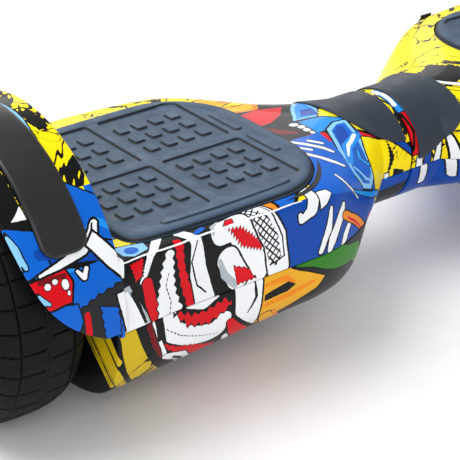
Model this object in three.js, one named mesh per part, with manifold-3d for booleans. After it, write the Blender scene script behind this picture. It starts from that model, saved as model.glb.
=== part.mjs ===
// Self-balancing two-wheel board (hoverboard), a full assembly of separate solids.
// Units are millimetres, +Z is up and -Y is the front. X runs along the wheel axles. The origin is
// on the ground, midway between the wheels, under the pivot that lets the two halves twist.
// Every half-board piece is drawn once for the right half (X > 0) and mirrored for the left half.

import * as THREE from 'three';
import { mergeVertices } from 'three/addons/utils/BufferGeometryUtils.js';
import Module from 'manifold-3d';

// ---- driving dimensions -------------------------------------------------------------------------

const GAP = 0.3; // clearance between pieces that touch on the real object
const WALL = 2.6; // moulded shell thickness

const WHEEL_RADIUS = 82.5;
const AXLE_HEIGHT = WHEEL_RADIUS;
const WHEEL_INNER = 271; // distance of the tyre's inner side from the centre of the board
const TYRE_WIDTH = 54;
const RIM_RADIUS = 59.7;
const RIM_SEGMENTS = 24;
const TYRE_SEGMENTS = 40; // an even count, so that one flat of the tread rests on the ground

const SPLIT = 0.75; // half of the slit between the two halves
const BODY_END = 262; // outer end of the half shells, next to the wheel
const BODY_HALF_WIDTH = 90;
const DECK_HEIGHT = 116;
const BELLY_HEIGHT = 24; // near the neck; the belly drops by BELLY_DROP toward the wheel
const BELLY_DROP = 7.4;
const WAIST_HEIGHT = 79.5; // height where the body is widest
const SEAM_HEIGHT = 74.5;

const NECK_END = 25; // the neck keeps its full section from the slit to here
const NECK_HALF_WIDTH = 36.5;
const NECK_TOP = 114.3;
const NECK_BOTTOM = 42;
const NECK_WAIST = 83;

const FENDER_RADIUS = 95.5;
const FENDER_WALL = 2.9;
const FENDER_INNER = 257;
const FENDER_OUTER = 316;
const FENDER_CUT = 46; // how far the lower corners of the fender sweep back toward the body
const FENDER_CUT_ANGLE = 14; // degrees over which that sweep dies out
const FENDER_END_ANGLE = -3.4; // degrees below the axle where the fender stops

const STRIP_RADIUS = 97.8;
const STRIP_INNER = 271;
const STRIP_OUTER = 299;
const STRIP_END_ANGLE = 28;
const STRIP_CORNER = 9;

const TRIM_INNER = 4.5;
const TRIM_TIP = 2; // width left at the two tips
const TRIM_SPAN = 38;
const TRIM_FRONT_ANGLE = -3; // the inlay runs down to the waist at the front
const TRIM_BACK_ANGLE = 157; // and ends higher at the back
const TRIM_RISE = 1.3;

const PAD_INNER = 93;
const PAD_OUTER = 243;
const PAD_HALF_WIDTH = 81.5;
const PAD_REAR_REACH = 74; // the pad stops further from the rear edge than from the front
const PAD_TOP = 118.4;
const PAD_BOTTOM = 114.8;
const PAD_CORNER = 15;
const PAD_NOSE_LENGTH = 48; // the big rounded corners at the neck end of the pad
const PAD_NOSE_WIDTH = 56;
const POCKET_FLOOR = 113.2;
const POCKET_MARGIN = 0.7;
const PLUNGER_X = 160;
const PLUNGER_Y = 45;

const TUBE_RADIUS = 16;
const TUBE_BORE = 12;
const TUBE_LENGTH = 124;
const BUSH_WALL = 3;

const SCREW_PLACES = [[105, 57], [105, -57], [228, 54], [228, -54]];
const SCREW_SEAT = 37; // height of the seat under a belly screw's head
const BOSS_TOP = SCREW_SEAT + 7;
const CLAMP_BOLT_PLACES = [[233, 21], [233, -21]];
const TOWER_PLACES = [[150, 20], [150, -20], [206, 20], [206, -20]];
const BOARD_HEIGHT = 98;
const POST_RADIUS = 6;
const AXLE_RADIUS = 7.5;
const AXLE_SADDLE = AXLE_RADIUS + GAP;
const TRAY_FLOOR = 32; // the battery and the board tray stand clear of the belly's curve
const BATTERY_HEIGHT = 37;
const BOARD_FLOOR = TRAY_FLOOR + 9; // underside of the main board

const PORT_X = 128;
const BUTTON_X = 164;
const PORT_Z = 96;

// ---- solids from three.js geometry -------------------------------------------------------------

const wasm = await Module();
wasm.setup();

function solidOf(geometry) {
  const bare = geometry.clone();
  bare.deleteAttribute('normal');
  bare.deleteAttribute('uv');
  const merged = mergeVertices(bare, 1e-4);
  const mesh = new wasm.Mesh({
    numProp: 3,
    vertProperties: new Float32Array(merged.attributes.position.array),
    triVerts: new Uint32Array(merged.index.array),
  });
  return new wasm.Manifold(mesh);
}

function geometryOf(solid) {
  const mesh = solid.getMesh();
  const geometry = new THREE.BufferGeometry();
  geometry.setAttribute('position', new THREE.BufferAttribute(new Float32Array(mesh.vertProperties), 3));
  geometry.setIndex(new THREE.BufferAttribute(new Uint32Array(mesh.triVerts), 1));
  geometry.computeVertexNormals();
  return geometry;
}

function block(x0, x1, y0, y1, z0, z1) {
  const geometry = new THREE.BoxGeometry(x1 - x0, y1 - y0, z1 - z0);
  geometry.translate((x0 + x1) / 2, (y0 + y1) / 2, (z0 + z1) / 2);
  return solidOf(geometry);
}

// A round bar along X, centred on the given height and depth.
function barX(radius, x0, x1, z, y = 0, segments = 24) {
  const geometry = new THREE.CylinderGeometry(radius, radius, x1 - x0, segments);
  geometry.rotateZ(Math.PI / 2);
  geometry.translate((x0 + x1) / 2, y, z);
  return solidOf(geometry);
}

function barY(radius, y0, y1, x, z, segments = 18) {
  const geometry = new THREE.CylinderGeometry(radius, radius, y1 - y0, segments);
  geometry.translate(x, (y0 + y1) / 2, z);
  return solidOf(geometry);
}

function barZ(radius, z0, z1, x, y, segments = 10) {
  const geometry = new THREE.CylinderGeometry(radius, radius, z1 - z0, segments);
  geometry.rotateX(Math.PI / 2);
  geometry.translate(x, y, (z0 + z1) / 2);
  return solidOf(geometry);
}

// A closed profile of [distance along X, radius] points turned about the axle line.
function turned(profile, segments, height = AXLE_HEIGHT) {
  const points = profile.map(([along, radius]) => new THREE.Vector2(radius, along));
  points.push(points[0].clone());
  const geometry = new THREE.LatheGeometry(points, segments, Math.PI / segments);
  geometry.rotateZ(-Math.PI / 2);
  geometry.translate(0, 0, height);
  return outward(geometry);
}

// Gives a geometry outward faces, whichever way round its outline was drawn.
function outward(geometry) {
  const solid = solidOf(geometry);
  if (solid.volume() > 0) return solid;
  return solidOf(flipped(geometry));
}

function flipped(geometry) {
  const copy = geometry.clone();
  const index = copy.index.array;
  for (let i = 0; i < index.length; i += 3) {
    const second = index[i + 1];
    index[i + 1] = index[i + 2];
    index[i + 2] = second;
  }
  return copy;
}

// Skins a row of closed loops that all have the same number of points, and caps both ends.
function loft(loops) {
  const count = loops[0].length;
  const positions = [];
  const index = [];
  for (const loop of loops) {
    for (const point of loop) positions.push(...point);
  }
  for (let row = 0; row < loops.length - 1; row += 1) {
    for (let i = 0; i < count; i += 1) {
      const a = row * count + i;
      const b = row * count + ((i + 1) % count);
      index.push(a, b, b + count, a, b + count, a + count);
    }
  }
  const last = (loops.length - 1) * count;
  for (let i = 1; i < count - 1; i += 1) {
    index.push(0, i + 1, i);
    index.push(last, last + i, last + i + 1);
  }
  const geometry = new THREE.BufferGeometry();
  geometry.setAttribute('position', new THREE.Float32BufferAttribute(positions, 3));
  geometry.setIndex(index);
  return outward(geometry);
}

// A thin curved sheet with an outer and an inner face, each given by a function of two numbers 0..1.
function sheet(outerFace, innerFace, rows, columns) {
  const positions = [];
  const index = [];
  const stride = columns + 1;
  const face = (rows + 1) * stride;
  for (const place of [outerFace, innerFace]) {
    for (let r = 0; r <= rows; r += 1) {
      for (let c = 0; c <= columns; c += 1) positions.push(...place(r / rows, c / columns));
    }
  }
  const quad = (a, b, c, d) => index.push(a, b, c, a, c, d);
  for (let r = 0; r < rows; r += 1) {
    for (let c = 0; c < columns; c += 1) {
      const a = r * stride + c;
      quad(a, a + 1, a + 1 + stride, a + stride);
      quad(face + a, face + a + stride, face + a + 1 + stride, face + a + 1);
    }
  }
  for (let r = 0; r < rows; r += 1) {
    const low = r * stride;
    const high = low + columns;
    quad(low, low + stride, face + low + stride, face + low);
    quad(high, face + high, face + high + stride, high + stride);
  }
  for (let c = 0; c < columns; c += 1) {
    const first = c;
    const final = rows * stride + c;
    quad(first, face + first, face + first + 1, first + 1);
    quad(final, final + 1, face + final + 1, face + final);
  }
  const geometry = new THREE.BufferGeometry();
  geometry.setAttribute('position', new THREE.Float32BufferAttribute(positions, 3));
  geometry.setIndex(index);
  return outward(geometry);
}

function extruded(shape, z0, z1, curveSegments = 8) {
  const options = { depth: z1 - z0, bevelEnabled: false, curveSegments };
  const geometry = new THREE.ExtrudeGeometry(shape, options);
  geometry.translate(0, 0, z0);
  return outward(geometry.index ? geometry : mergeVertices(geometry));
}

// ---- the body surface ---------------------------------------------------------------------------

function clamp01(t) {
  return Math.min(1, Math.max(0, t));
}

function ease(t) {
  const s = clamp01(t);
  return s * s * (3 - 2 * s);
}

function mix(a, b, t) {
  return a + (b - a) * t;
}

// The section of the half body at distance x from the centre: two half superellipses that meet at
// the waist. The neck is oval, and the body proper is boxy with a flat deck and a rounded belly.
function sectionAt(x) {
  const spread = ease((x - NECK_END) / 96) ** 0.52;
  const flare = 2.5 * ease((x - 215) / 40);
  const drop = BELLY_DROP * ease((x - 110) / 145);
  return {
    halfWidth: mix(NECK_HALF_WIDTH, BODY_HALF_WIDTH, spread) + flare,
    top: mix(NECK_TOP, DECK_HEIGHT, ease((x - 30) / 56)),
    bottom: mix(NECK_BOTTOM, BELLY_HEIGHT, ease((x - 47) / 48)) - drop,
    waist: mix(NECK_WAIST, WAIST_HEIGHT, ease((x - 38) / 60)),
    upperPower: 2 + 34 * ease((x - 30) / 185) ** 2,
    lowerPower: 2 + 1.1 * ease((x - 62) / 22),
  };
}

// One point of the body surface. The angle runs from the front waist over the top to the back.
function bodyPoint(x, angle, inset = 0) {
  const section = sectionAt(x);
  const side = Math.cos(angle);
  const rise = Math.sin(angle);
  const power = rise >= 0 ? section.upperPower : section.lowerPower;
  const height = rise >= 0 ? section.top - section.waist : section.waist - section.bottom;
  const y = -Math.sign(side) * (section.halfWidth - inset) * Math.abs(side) ** (2 / power);
  const z = section.waist + Math.sign(rise) * (height - inset) * Math.abs(rise) ** (2 / power);
  return [x, y, z];
}

function radians(list) {
  return list.map((degrees) => THREE.MathUtils.degToRad(degrees));
}

// The angles are packed more closely where the section turns from deck to side.
const OUTER_ANGLES = radians([
  0, 12, 30, 46, 62, 79, 101, 118, 134, 150, 168, 180, 200, 219, 237, 254, 286, 303, 321, 340,
]);
const INNER_ANGLES = radians([0, 30, 62, 118, 150, 180, 200, 219, 254, 286, 321, 340]);
const OUTER_STATIONS = [NECK_END, 33, 42, 52, 62, 73, 85, 97, 110, 125, 150, 185, 215, 240];
const INNER_STATIONS = [NECK_END, 40, 55, 70, 85, 100, 120, 160, 215, 240];

function bodyLoft(x0, x1, inset, stations, angles) {
  const places = [x0, ...stations, x1];
  return loft(places.map((x) => angles.map((angle) => bodyPoint(x, angle, inset))));
}

const bodyOuter = bodyLoft(SPLIT, BODY_END, 0, OUTER_STATIONS, OUTER_ANGLES);
const bodyInner = bodyLoft(SPLIT + WALL, BODY_END - WALL, WALL, INNER_STATIONS, INNER_ANGLES);
const bodyShell = bodyOuter.subtract(bodyInner);

// ---- foot pad outline ---------------------------------------------------------------------------

// The pad narrows toward the neck through two big elliptic corners. Its long sides are barrelled.
function padShape(grow, steps) {
  const outer = PAD_OUTER + grow;
  const inner = PAD_INNER - grow;
  const half = PAD_HALF_WIDTH + grow;
  const end = half - 2.5;
  const corner = PAD_CORNER + grow;
  const noseX = inner + PAD_NOSE_LENGTH;
  const noseY = half - PAD_NOSE_WIDTH;
  const shape = new THREE.Shape();
  shape.moveTo(outer, -end + corner);
  shape.lineTo(outer, end - corner);
  shape.quadraticCurveTo(outer, end, outer - corner, end + 0.4);
  shape.quadraticCurveTo((outer + noseX) / 2, half + 1, noseX, half);
  shape.absellipse(noseX, noseY, PAD_NOSE_LENGTH, PAD_NOSE_WIDTH, Math.PI / 2, Math.PI, false, 0);
  shape.lineTo(inner, -noseY);
  shape.absellipse(noseX, -noseY, PAD_NOSE_LENGTH, PAD_NOSE_WIDTH, Math.PI, Math.PI * 1.5, false, 0);
  shape.quadraticCurveTo((outer + noseX) / 2, -half - 1, outer - corner, -end - 0.4);
  shape.quadraticCurveTo(outer, -end, outer, -end + corner);
  const rear = (PAD_REAR_REACH + grow) / half;
  return new THREE.Shape(
    shape.getPoints(steps).map((point) => new THREE.Vector2(point.x, point.y > 0 ? point.y * rear : point.y)),
  );
}

// ---- half-board pieces, drawn for the right half --------------------------------------------------

// Outer edge of the fender: straight over the crown, swept back to the body at its lower corners.
function fenderEdge(degrees) {
  const fromEnd = Math.min(degrees, 180 - degrees) - FENDER_END_ANGLE;
  return FENDER_OUTER - FENDER_CUT * Math.exp(-fromEnd / FENDER_CUT_ANGLE);
}

function aroundAxle(x, radius, degrees) {
  const angle = THREE.MathUtils.degToRad(degrees);
  return [x, -radius * Math.cos(angle), AXLE_HEIGHT + radius * Math.sin(angle)];
}

function fender() {
  const sweep = 180 - 2 * FENDER_END_ANGLE;
  const skin = (radius) => (u, v) => {
    // more rows near the two lower corners, where the edge curves
    const eased = 0.5 - 0.5 * Math.cos(Math.PI * u);
    const degrees = FENDER_END_ANGLE + sweep * mix(u, eased, 0.55);
    return aroundAxle(mix(FENDER_INNER, fenderEdge(degrees), v), radius, degrees);
  };
  return sheet(skin(FENDER_RADIUS), skin(FENDER_RADIUS - FENDER_WALL), 24, 1);
}

function topShell() {
  const above = block(-10, BODY_END + 90, -150, 150, SEAM_HEIGHT + GAP / 2, 250);
  const wheelWall = barX(FENDER_RADIUS, BODY_END - WALL, BODY_END, AXLE_HEIGHT, 0, 44);
  const archWall = barX(FENDER_RADIUS, FENDER_INNER, BODY_END, AXLE_HEIGHT, 0, 44)
    .subtract(barX(FENDER_RADIUS - FENDER_WALL, FENDER_INNER - 5, BODY_END + 5, AXLE_HEIGHT, 0, 44));
  const padPlate = extruded(padShape(3.5, 4), POCKET_FLOOR - WALL, DECK_HEIGHT - 1, 4);
  const padPocket = extruded(padShape(POCKET_MARGIN, 5), POCKET_FLOOR, DECK_HEIGHT + 5, 5);
  let shell = bodyShell.add(padPlate.intersect(bodyOuter)).add(wheelWall).add(archWall).intersect(above);
  shell = shell.add(fender()).subtract(padPocket);
  for (const y of [-PLUNGER_Y, PLUNGER_Y]) {
    shell = shell.subtract(barZ(6.5, POCKET_FLOOR - 8, POCKET_FLOOR + 8, PLUNGER_X, y));
  }
  const axleSlot = block(BODY_END - 8, BODY_END + 2, -14, 14, 60, AXLE_HEIGHT + 14);
  const neckHole = barX(25, SPLIT - 2, SPLIT + 8, AXLE_HEIGHT);
  return shell.subtract(axleSlot).subtract(neckHole);
}

function bottomShell() {
  const below = block(-10, BODY_END + 5, -150, 150, -10, SEAM_HEIGHT - GAP / 2);
  let shell = bodyShell.intersect(below);
  for (const [x, y] of SCREW_PLACES) {
    const boss = barZ(8, BELLY_HEIGHT - BELLY_DROP, BOSS_TOP, x, y).intersect(bodyOuter);
    const headHole = barZ(5, 0, SCREW_SEAT, x, y);
    const shankHole = barZ(2.6, 0, BOSS_TOP + 5, x, y, 8);
    shell = shell.add(boss).subtract(headHole).subtract(shankHole);
  }
  const axleSlot = block(BODY_END - 8, BODY_END + 2, -14, 14, 64, 90);
  const neckHole = barX(25, SPLIT - 2, SPLIT + 8, AXLE_HEIGHT);
  return shell.subtract(axleSlot).subtract(neckHole);
}

function bottomScrew([x, y]) {
  const head = barZ(4.4, SCREW_SEAT - GAP - 3.2, SCREW_SEAT - GAP, x, y);
  const shank = barZ(2.2, SCREW_SEAT - 1, BOSS_TOP + 12, x, y, 8);
  const socket = barZ(2, SCREW_SEAT - 5, SCREW_SEAT - GAP - 1.6, x, y, 6);
  return head.add(shank).subtract(socket);
}

function bumperStrip() {
  const middle = (STRIP_INNER + STRIP_OUTER) / 2;
  const half = (STRIP_OUTER - STRIP_INNER) / 2;
  const skin = (radius) => (u, v) => {
    const eased = mix(u, 0.5 - 0.5 * Math.cos(Math.PI * u), 0.8);
    const degrees = STRIP_END_ANGLE + (180 - 2 * STRIP_END_ANGLE) * eased;
    const fromEnd = THREE.MathUtils.degToRad(Math.min(degrees, 180 - degrees) - STRIP_END_ANGLE) * radius;
    const into = clamp01(1 - fromEnd / STRIP_CORNER);
    const reach = half - STRIP_CORNER * (1 - Math.sqrt(1 - into * into * 0.99));
    return aroundAxle(mix(middle - reach, middle + reach, v), radius, degrees);
  };
  return sheet(skin(STRIP_RADIUS), skin(FENDER_RADIUS + GAP), 24, 1);
}

// A tongue-shaped inlay that wraps over the neck beside the slit and ends in a tip low on each side.
function neckTrim() {
  const skin = (rise) => (u, v) => {
    const degrees = mix(TRIM_FRONT_ANGLE, TRIM_BACK_ANGLE, u);
    const reach = TRIM_TIP + TRIM_SPAN * (1 - (2 * u - 1) ** 2) ** 0.6;
    return bodyPoint(TRIM_INNER + reach * v, THREE.MathUtils.degToRad(degrees), -rise);
  };
  return sheet(skin(TRIM_RISE), skin(GAP + 0.1), 20, 3);
}

function footPad() {
  let pad = extruded(padShape(0, 6), PAD_BOTTOM, PAD_TOP, 6);
  for (const y of [-PLUNGER_Y, PLUNGER_Y]) {
    pad = pad.add(barZ(4, PAD_BOTTOM - 9, PAD_BOTTOM + 1, PLUNGER_X, y));
  }
  return pad;
}

// The cast frame of a half: a ribbed tray with a bearing boss for the pivot tube, a saddle for the
// axle, posts for the belly screws and four towers that hold the sensor board.
function chassis(boreRadius) {
  const tray = block(72, 232, -66, 66, 70, 75);
  const windows = block(100, 140, -34, 34, 60, 80).add(block(160, 200, -34, 34, 60, 80));
  let frame = tray.subtract(windows);
  frame = frame.add(block(76, 214, -66, -62, 66, 88)).add(block(76, 214, 62, 66, 66, 88));
  frame = frame.add(block(72, 78, -62, 62, 66, 90));
  frame = frame.add(barX(25, 8, 76, AXLE_HEIGHT, 0, 24));
  frame = frame.add(block(214, 252, -30, 30, 62, AXLE_HEIGHT - GAP));
  for (const [x, y] of SCREW_PLACES) {
    frame = frame.add(barZ(POST_RADIUS, BOSS_TOP + GAP, 72, x, y));
  }
  for (const [x, y] of TOWER_PLACES) frame = frame.add(barZ(4, 72, BOARD_HEIGHT - GAP, x, y, 8));
  frame = frame.subtract(barX(boreRadius, -5, 90, AXLE_HEIGHT, 0, 24));
  frame = frame.subtract(barX(AXLE_SADDLE, 200, 270, AXLE_HEIGHT, 0, 24));
  for (const [x, y] of SCREW_PLACES) {
    frame = frame.subtract(barZ(2.5, BOSS_TOP - 5, BOSS_TOP + 14, x, y, 8));
  }
  for (const [x, y] of CLAMP_BOLT_PLACES) frame = frame.subtract(barZ(2.8, 68, 90, x, y, 8));
  return frame;
}

function axleClamp() {
  let clamp = block(216, 250, -28, 28, AXLE_HEIGHT + GAP, AXLE_HEIGHT + 8);
  clamp = clamp.add(block(216, 250, -14, 14, AXLE_HEIGHT + GAP, AXLE_HEIGHT + 13));
  clamp = clamp.subtract(barX(AXLE_SADDLE, 200, 270, AXLE_HEIGHT, 0, 24));
  for (const [x, y] of CLAMP_BOLT_PLACES) clamp = clamp.subtract(barZ(2.8, 70, 100, x, y, 8));
  return clamp;
}

// Hexagon bolt that pulls the clamp down onto the axle.
function clampBolt([x, y]) {
  const head = barZ(4.2, AXLE_HEIGHT + 8 + GAP, AXLE_HEIGHT + 12.5, x, y, 6);
  const shank = barZ(2.4, AXLE_HEIGHT - 12, AXLE_HEIGHT + 9, x, y, 8);
  return head.add(shank);
}

// Balance sensor board, with a lever switch under each plunger of the foot pad.
function sensorBoard() {
  const top = BOARD_HEIGHT + 1.6;
  let sensors = block(144, 212, -54, 54, BOARD_HEIGHT, top);
  sensors = sensors.add(block(184, 196, -6, 6, top - 0.5, top + 2.4));
  sensors = sensors.add(block(198, 210, -8, 8, top - 0.5, top + 4.4));
  for (const y of [-PLUNGER_Y, PLUNGER_Y]) {
    sensors = sensors.add(block(150, 172, y - 6, y + 6, top - 0.5, PAD_BOTTOM - 10.7));
  }
  return sensors;
}

// ---- wheel pieces ---------------------------------------------------------------------------------

const W = WHEEL_INNER;

function tyre() {
  const crown = WHEEL_RADIUS / Math.cos(Math.PI / TYRE_SEGMENTS);
  const end = W + TYRE_WIDTH;
  return turned([
    [W + 3, RIM_RADIUS + GAP], [W, 66], [W + 3, 76], [W + 9, crown - 2.2], [W + 18, crown],
    [end - 18, crown], [end - 9, crown - 2.2], [end - 3, 76], [end, 66], [end - 3, RIM_RADIUS + GAP],
  ], TYRE_SEGMENTS);
}

function rim() {
  return turned([
    [W + 2, 57.2], [W + 2, RIM_RADIUS], [W + 51, RIM_RADIUS], [W + 51, 52], [W + 47, 46],
    [W + 49.6, 22], [W + 49.6, 12], [W + 47.6, 12], [W + 47.6, 17.8], [W + 38, 17.8], [W + 38, 22],
    [W + 43, 26], [W + 42, 57.2],
  ], RIM_SEGMENTS);
}

function motorCover() {
  return turned([
    [W + 1, 12], [W + 1, 24], [W + 3, 30], [W + 3, 56.9], [W + 8, 56.9], [W + 8, 22], [W + 16, 22],
    [W + 16, 17.8], [W + 5.5, 17.8], [W + 5.5, 12],
  ], RIM_SEGMENTS);
}

function magnetRing() {
  return turned([[W + 14, 51.2], [W + 14, 56.9], [W + 40, 56.9], [W + 40, 51.2]], RIM_SEGMENTS);
}

function bearing(from) {
  return turned([[from, 8.8], [from, 17.5], [from + 9, 17.5], [from + 9, 8.8]], 16);
}

// Wound stator: a laminated star whose teeth carry the coils.
function stator() {
  const teeth = 12;
  // one tooth: [share of the tooth spacing, radius]
  const tooth = [
    [-0.3, 35], [-0.3, 47], [-0.42, 47], [-0.42, 50.6], [0.42, 50.6], [0.42, 47], [0.3, 47], [0.3, 35],
  ];
  const outline = [];
  for (let i = 0; i < teeth; i += 1) {
    const middle = (i / teeth) * Math.PI * 2;
    for (const [part, radius] of tooth) {
      const angle = middle + (part * Math.PI * 2) / teeth;
      outline.push(new THREE.Vector2(radius * Math.cos(angle), radius * Math.sin(angle)));
    }
  }
  const star = new THREE.Shape(outline);
  const bore = new THREE.Path();
  bore.absarc(0, 0, 8.8, 0, Math.PI * 2, true);
  star.holes.push(bore);
  const options = { depth: 20, bevelEnabled: false, curveSegments: 10 };
  const geometry = new THREE.ExtrudeGeometry(star, options);
  geometry.rotateY(Math.PI / 2);
  geometry.translate(W + 17, 0, AXLE_HEIGHT);
  return outward(mergeVertices(geometry));
}

function axle() {
  return turned([
    [212, 0], [212, 6.6], [213, AXLE_RADIUS], [W - 2, AXLE_RADIUS], [W - 2, 8.5], [W + 46.5, 8.5],
    [W + 47.3, AXLE_RADIUS], [W + 47.3, 0],
  ], 16);
}

// Five-spoke cover pressed onto the outer face of the hub motor.
function hubCap() {
  const spokes = 5;
  let cap = turned([
    [W + 51.4, 0], [W + 51.4, 51], [W + 52.4, 51.5], [W + 53.6, 50], [W + 53.6, 0],
  ], 25);
  for (let i = 0; i < spokes; i += 1) {
    const window = new THREE.Shape();
    const span = (Math.PI * 2) / spokes;
    window.absarc(0, 0, 45, span * 0.16, span * 0.84, false);
    window.absarc(0, 0, 20, span * 0.7, span * 0.3, true);
    const options = { depth: 20, bevelEnabled: false, curveSegments: 4 };
    const geometry = new THREE.ExtrudeGeometry(window, options);
    geometry.rotateY(Math.PI / 2);
    geometry.rotateX(span * i);
    geometry.translate(W + 45, 0, AXLE_HEIGHT);
    cap = cap.subtract(outward(mergeVertices(geometry)));
  }
  return cap;
}

// ---- centre, electrics and the rear controls -------------------------------------------------------

function pivotTube() {
  const half = TUBE_LENGTH / 2;
  const tube = barX(TUBE_RADIUS, -half, half, AXLE_HEIGHT, 0, 24);
  return tube.subtract(barX(TUBE_BORE, -half - 5, half + 5, AXLE_HEIGHT, 0, 24));
}

function ring(outer, inner, x0, x1) {
  return turned([[x0, inner], [x0, outer], [x1, outer], [x1, inner]], 24);
}

function batteryPack() {
  const shape = new THREE.Shape();
  const x0 = 88;
  const x1 = 210;
  const y = 42;
  const r = 9;
  shape.moveTo(x0 + r, -y);
  shape.lineTo(x1 - r, -y);
  shape.quadraticCurveTo(x1, -y, x1, -y + r);
  shape.lineTo(x1, y - r);
  shape.quadraticCurveTo(x1, y, x1 - r, y);
  shape.lineTo(x0 + r, y);
  shape.quadraticCurveTo(x0, y, x0, y - r);
  shape.lineTo(x0, -y + r);
  shape.quadraticCurveTo(x0, -y, x0 + r, -y);
  return extruded(shape, TRAY_FLOOR, TRAY_FLOOR + BATTERY_HEIGHT, 3);
}

function mainBoard() {
  const face = BOARD_FLOOR + 1.6;
  let circuit = block(96, 212, -42, 42, BOARD_FLOOR, face);
  circuit = circuit.add(block(120, 190, 10, 38, face - 0.5, face + 18));
  for (const x of [108, 126]) circuit = circuit.add(barZ(7, face - 0.5, face + 22, x, -26));
  circuit = circuit.add(block(150, 196, -38, -28, face - 0.5, face + 8));
  return circuit;
}

function boardTray() {
  let tray = block(94, 214, -42, 42, TRAY_FLOOR, TRAY_FLOOR + 3);
  for (const [x, y] of [[101, 36], [101, -36], [207, 36], [207, -36]]) {
    tray = tray.add(barZ(4, TRAY_FLOOR + 1, BOARD_FLOOR - GAP, x, y, 8));
  }
  return tray;
}

// The loom runs through the hollow pivot tube, between the battery side and the board side.
function wireLoom() {
  const half = 74;
  const points = [[-half, -4], [-50, 1], [0, 2], [50, 1], [half, -4]];
  const places = points.map(([x, z]) => new THREE.Vector3(x, 0, AXLE_HEIGHT + z));
  const route = new THREE.CatmullRomCurve3(places);
  const round = new THREE.Shape();
  round.absarc(0, 0, 5, 0, Math.PI * 2, false);
  const geometry = new THREE.ExtrudeGeometry(round, {
    steps: 10, curveSegments: 4, bevelEnabled: false, extrudePath: route,
  });
  return outward(mergeVertices(geometry));
}

const REAR_FACE = BODY_HALF_WIDTH;

function chargePort() {
  const body = barY(9, REAR_FACE - 23, REAR_FACE + GAP, PORT_X, PORT_Z);
  const flange = barY(12, REAR_FACE + GAP, REAR_FACE + 1.4, PORT_X, PORT_Z);
  const socket = barY(6.2, REAR_FACE - 14, REAR_FACE + 5, PORT_X, PORT_Z);
  const pins = [-2.4, 2.4].map((x) => barY(1.1, REAR_FACE - 15, REAR_FACE - 6, PORT_X + x, PORT_Z, 6));
  return body.add(flange).subtract(socket).add(pins[0]).add(pins[1]);
}

const CAP_FACE = REAR_FACE + 1.4 + GAP;
const CAP_THICKNESS = 1.7;
const CAP_HINGE_Z = PORT_Z + 13.4;

function chargeCap() {
  const disc = barY(11, CAP_FACE, CAP_FACE + CAP_THICKNESS, PORT_X, PORT_Z);
  const plug = barY(5.2, CAP_FACE - 2.5, CAP_FACE + 1, PORT_X, PORT_Z, 18);
  const tab = block(PORT_X - 5, PORT_X + 5, CAP_FACE, CAP_FACE + CAP_THICKNESS, PORT_Z, CAP_HINGE_Z + 0.7);
  return disc.add(plug).add(tab);
}

function capHinge() {
  const y0 = REAR_FACE + GAP + 0.1;
  return block(PORT_X - 5, PORT_X + 5, y0, CAP_FACE - 0.7, CAP_HINGE_Z - 0.6, CAP_HINGE_Z + 4);
}

function buttonBezel() {
  const outer = barY(11.5, REAR_FACE + GAP, REAR_FACE + 2, BUTTON_X, PORT_Z);
  const barrel = barY(9, REAR_FACE - 14, REAR_FACE + 1, BUTTON_X, PORT_Z);
  return outer.add(barrel).subtract(barY(7.4, REAR_FACE - 12, REAR_FACE + 5, BUTTON_X, PORT_Z));
}

function powerButton() {
  const cap = barY(7, REAR_FACE - 8, REAR_FACE + 3.2, BUTTON_X, PORT_Z);
  const dish = barY(4.4, REAR_FACE + 2.6, REAR_FACE + 6, BUTTON_X, PORT_Z, 20);
  return cap.subtract(dish);
}

// ---- materials and the assembly --------------------------------------------------------------------

function finish(color, roughness, metalness = 0) {
  return new THREE.MeshStandardMaterial({ color, roughness, metalness });
}

const materials = {
  upperPrint: finish(0xf2d81a, 0.25),
  lowerPrint: finish(0x1a4fb8, 0.25),
  padRubber: finish(0x566478, 0.6),
  blackRubber: finish(0x1b1d20, 0.75),
  tyreRubber: finish(0x151617, 0.85),
  trimPlastic: finish(0x3a4250, 0.55),
  castAluminium: finish(0x9a9da0, 0.5, 0.9),
  steel: finish(0xb8babd, 0.35, 1),
  paintedRim: finish(0x2a2b2e, 0.4, 0.6),
  copper: finish(0xb06a35, 0.4, 0.9),
  magnet: finish(0x55585c, 0.4, 0.8),
  bronze: finish(0xa88648, 0.45, 0.9),
  batteryWrap: finish(0x1f4f9a, 0.5),
  circuitBoard: finish(0x17663a, 0.5),
  blackPlastic: finish(0x17181a, 0.5),
  cableRed: finish(0x7a1d1d, 0.6),
  capSilver: finish(0xa9adb2, 0.3, 0.7),
};

const board = new THREE.Group();

function addPiece(name, solid, material) {
  const mesh = new THREE.Mesh(geometryOf(solid), material);
  mesh.name = name;
  board.add(mesh);
}

// Adds a right-half piece and its mirror image on the left half.
function addPair(name, solid, material) {
  addPiece(`${name}_right`, solid, material);
  addPiece(`${name}_left`, solid.mirror([1, 0, 0]), material);
}

const portHole = barY(9 + GAP, REAR_FACE - 20, REAR_FACE + 20, PORT_X, PORT_Z);
const buttonHole = barY(9 + GAP, REAR_FACE - 20, REAR_FACE + 20, BUTTON_X, PORT_Z);
const shellTop = topShell();
addPiece('top_shell_left', shellTop.mirror([1, 0, 0]), materials.upperPrint);
addPiece('top_shell_right', shellTop.subtract(portHole).subtract(buttonHole), materials.upperPrint);

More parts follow.
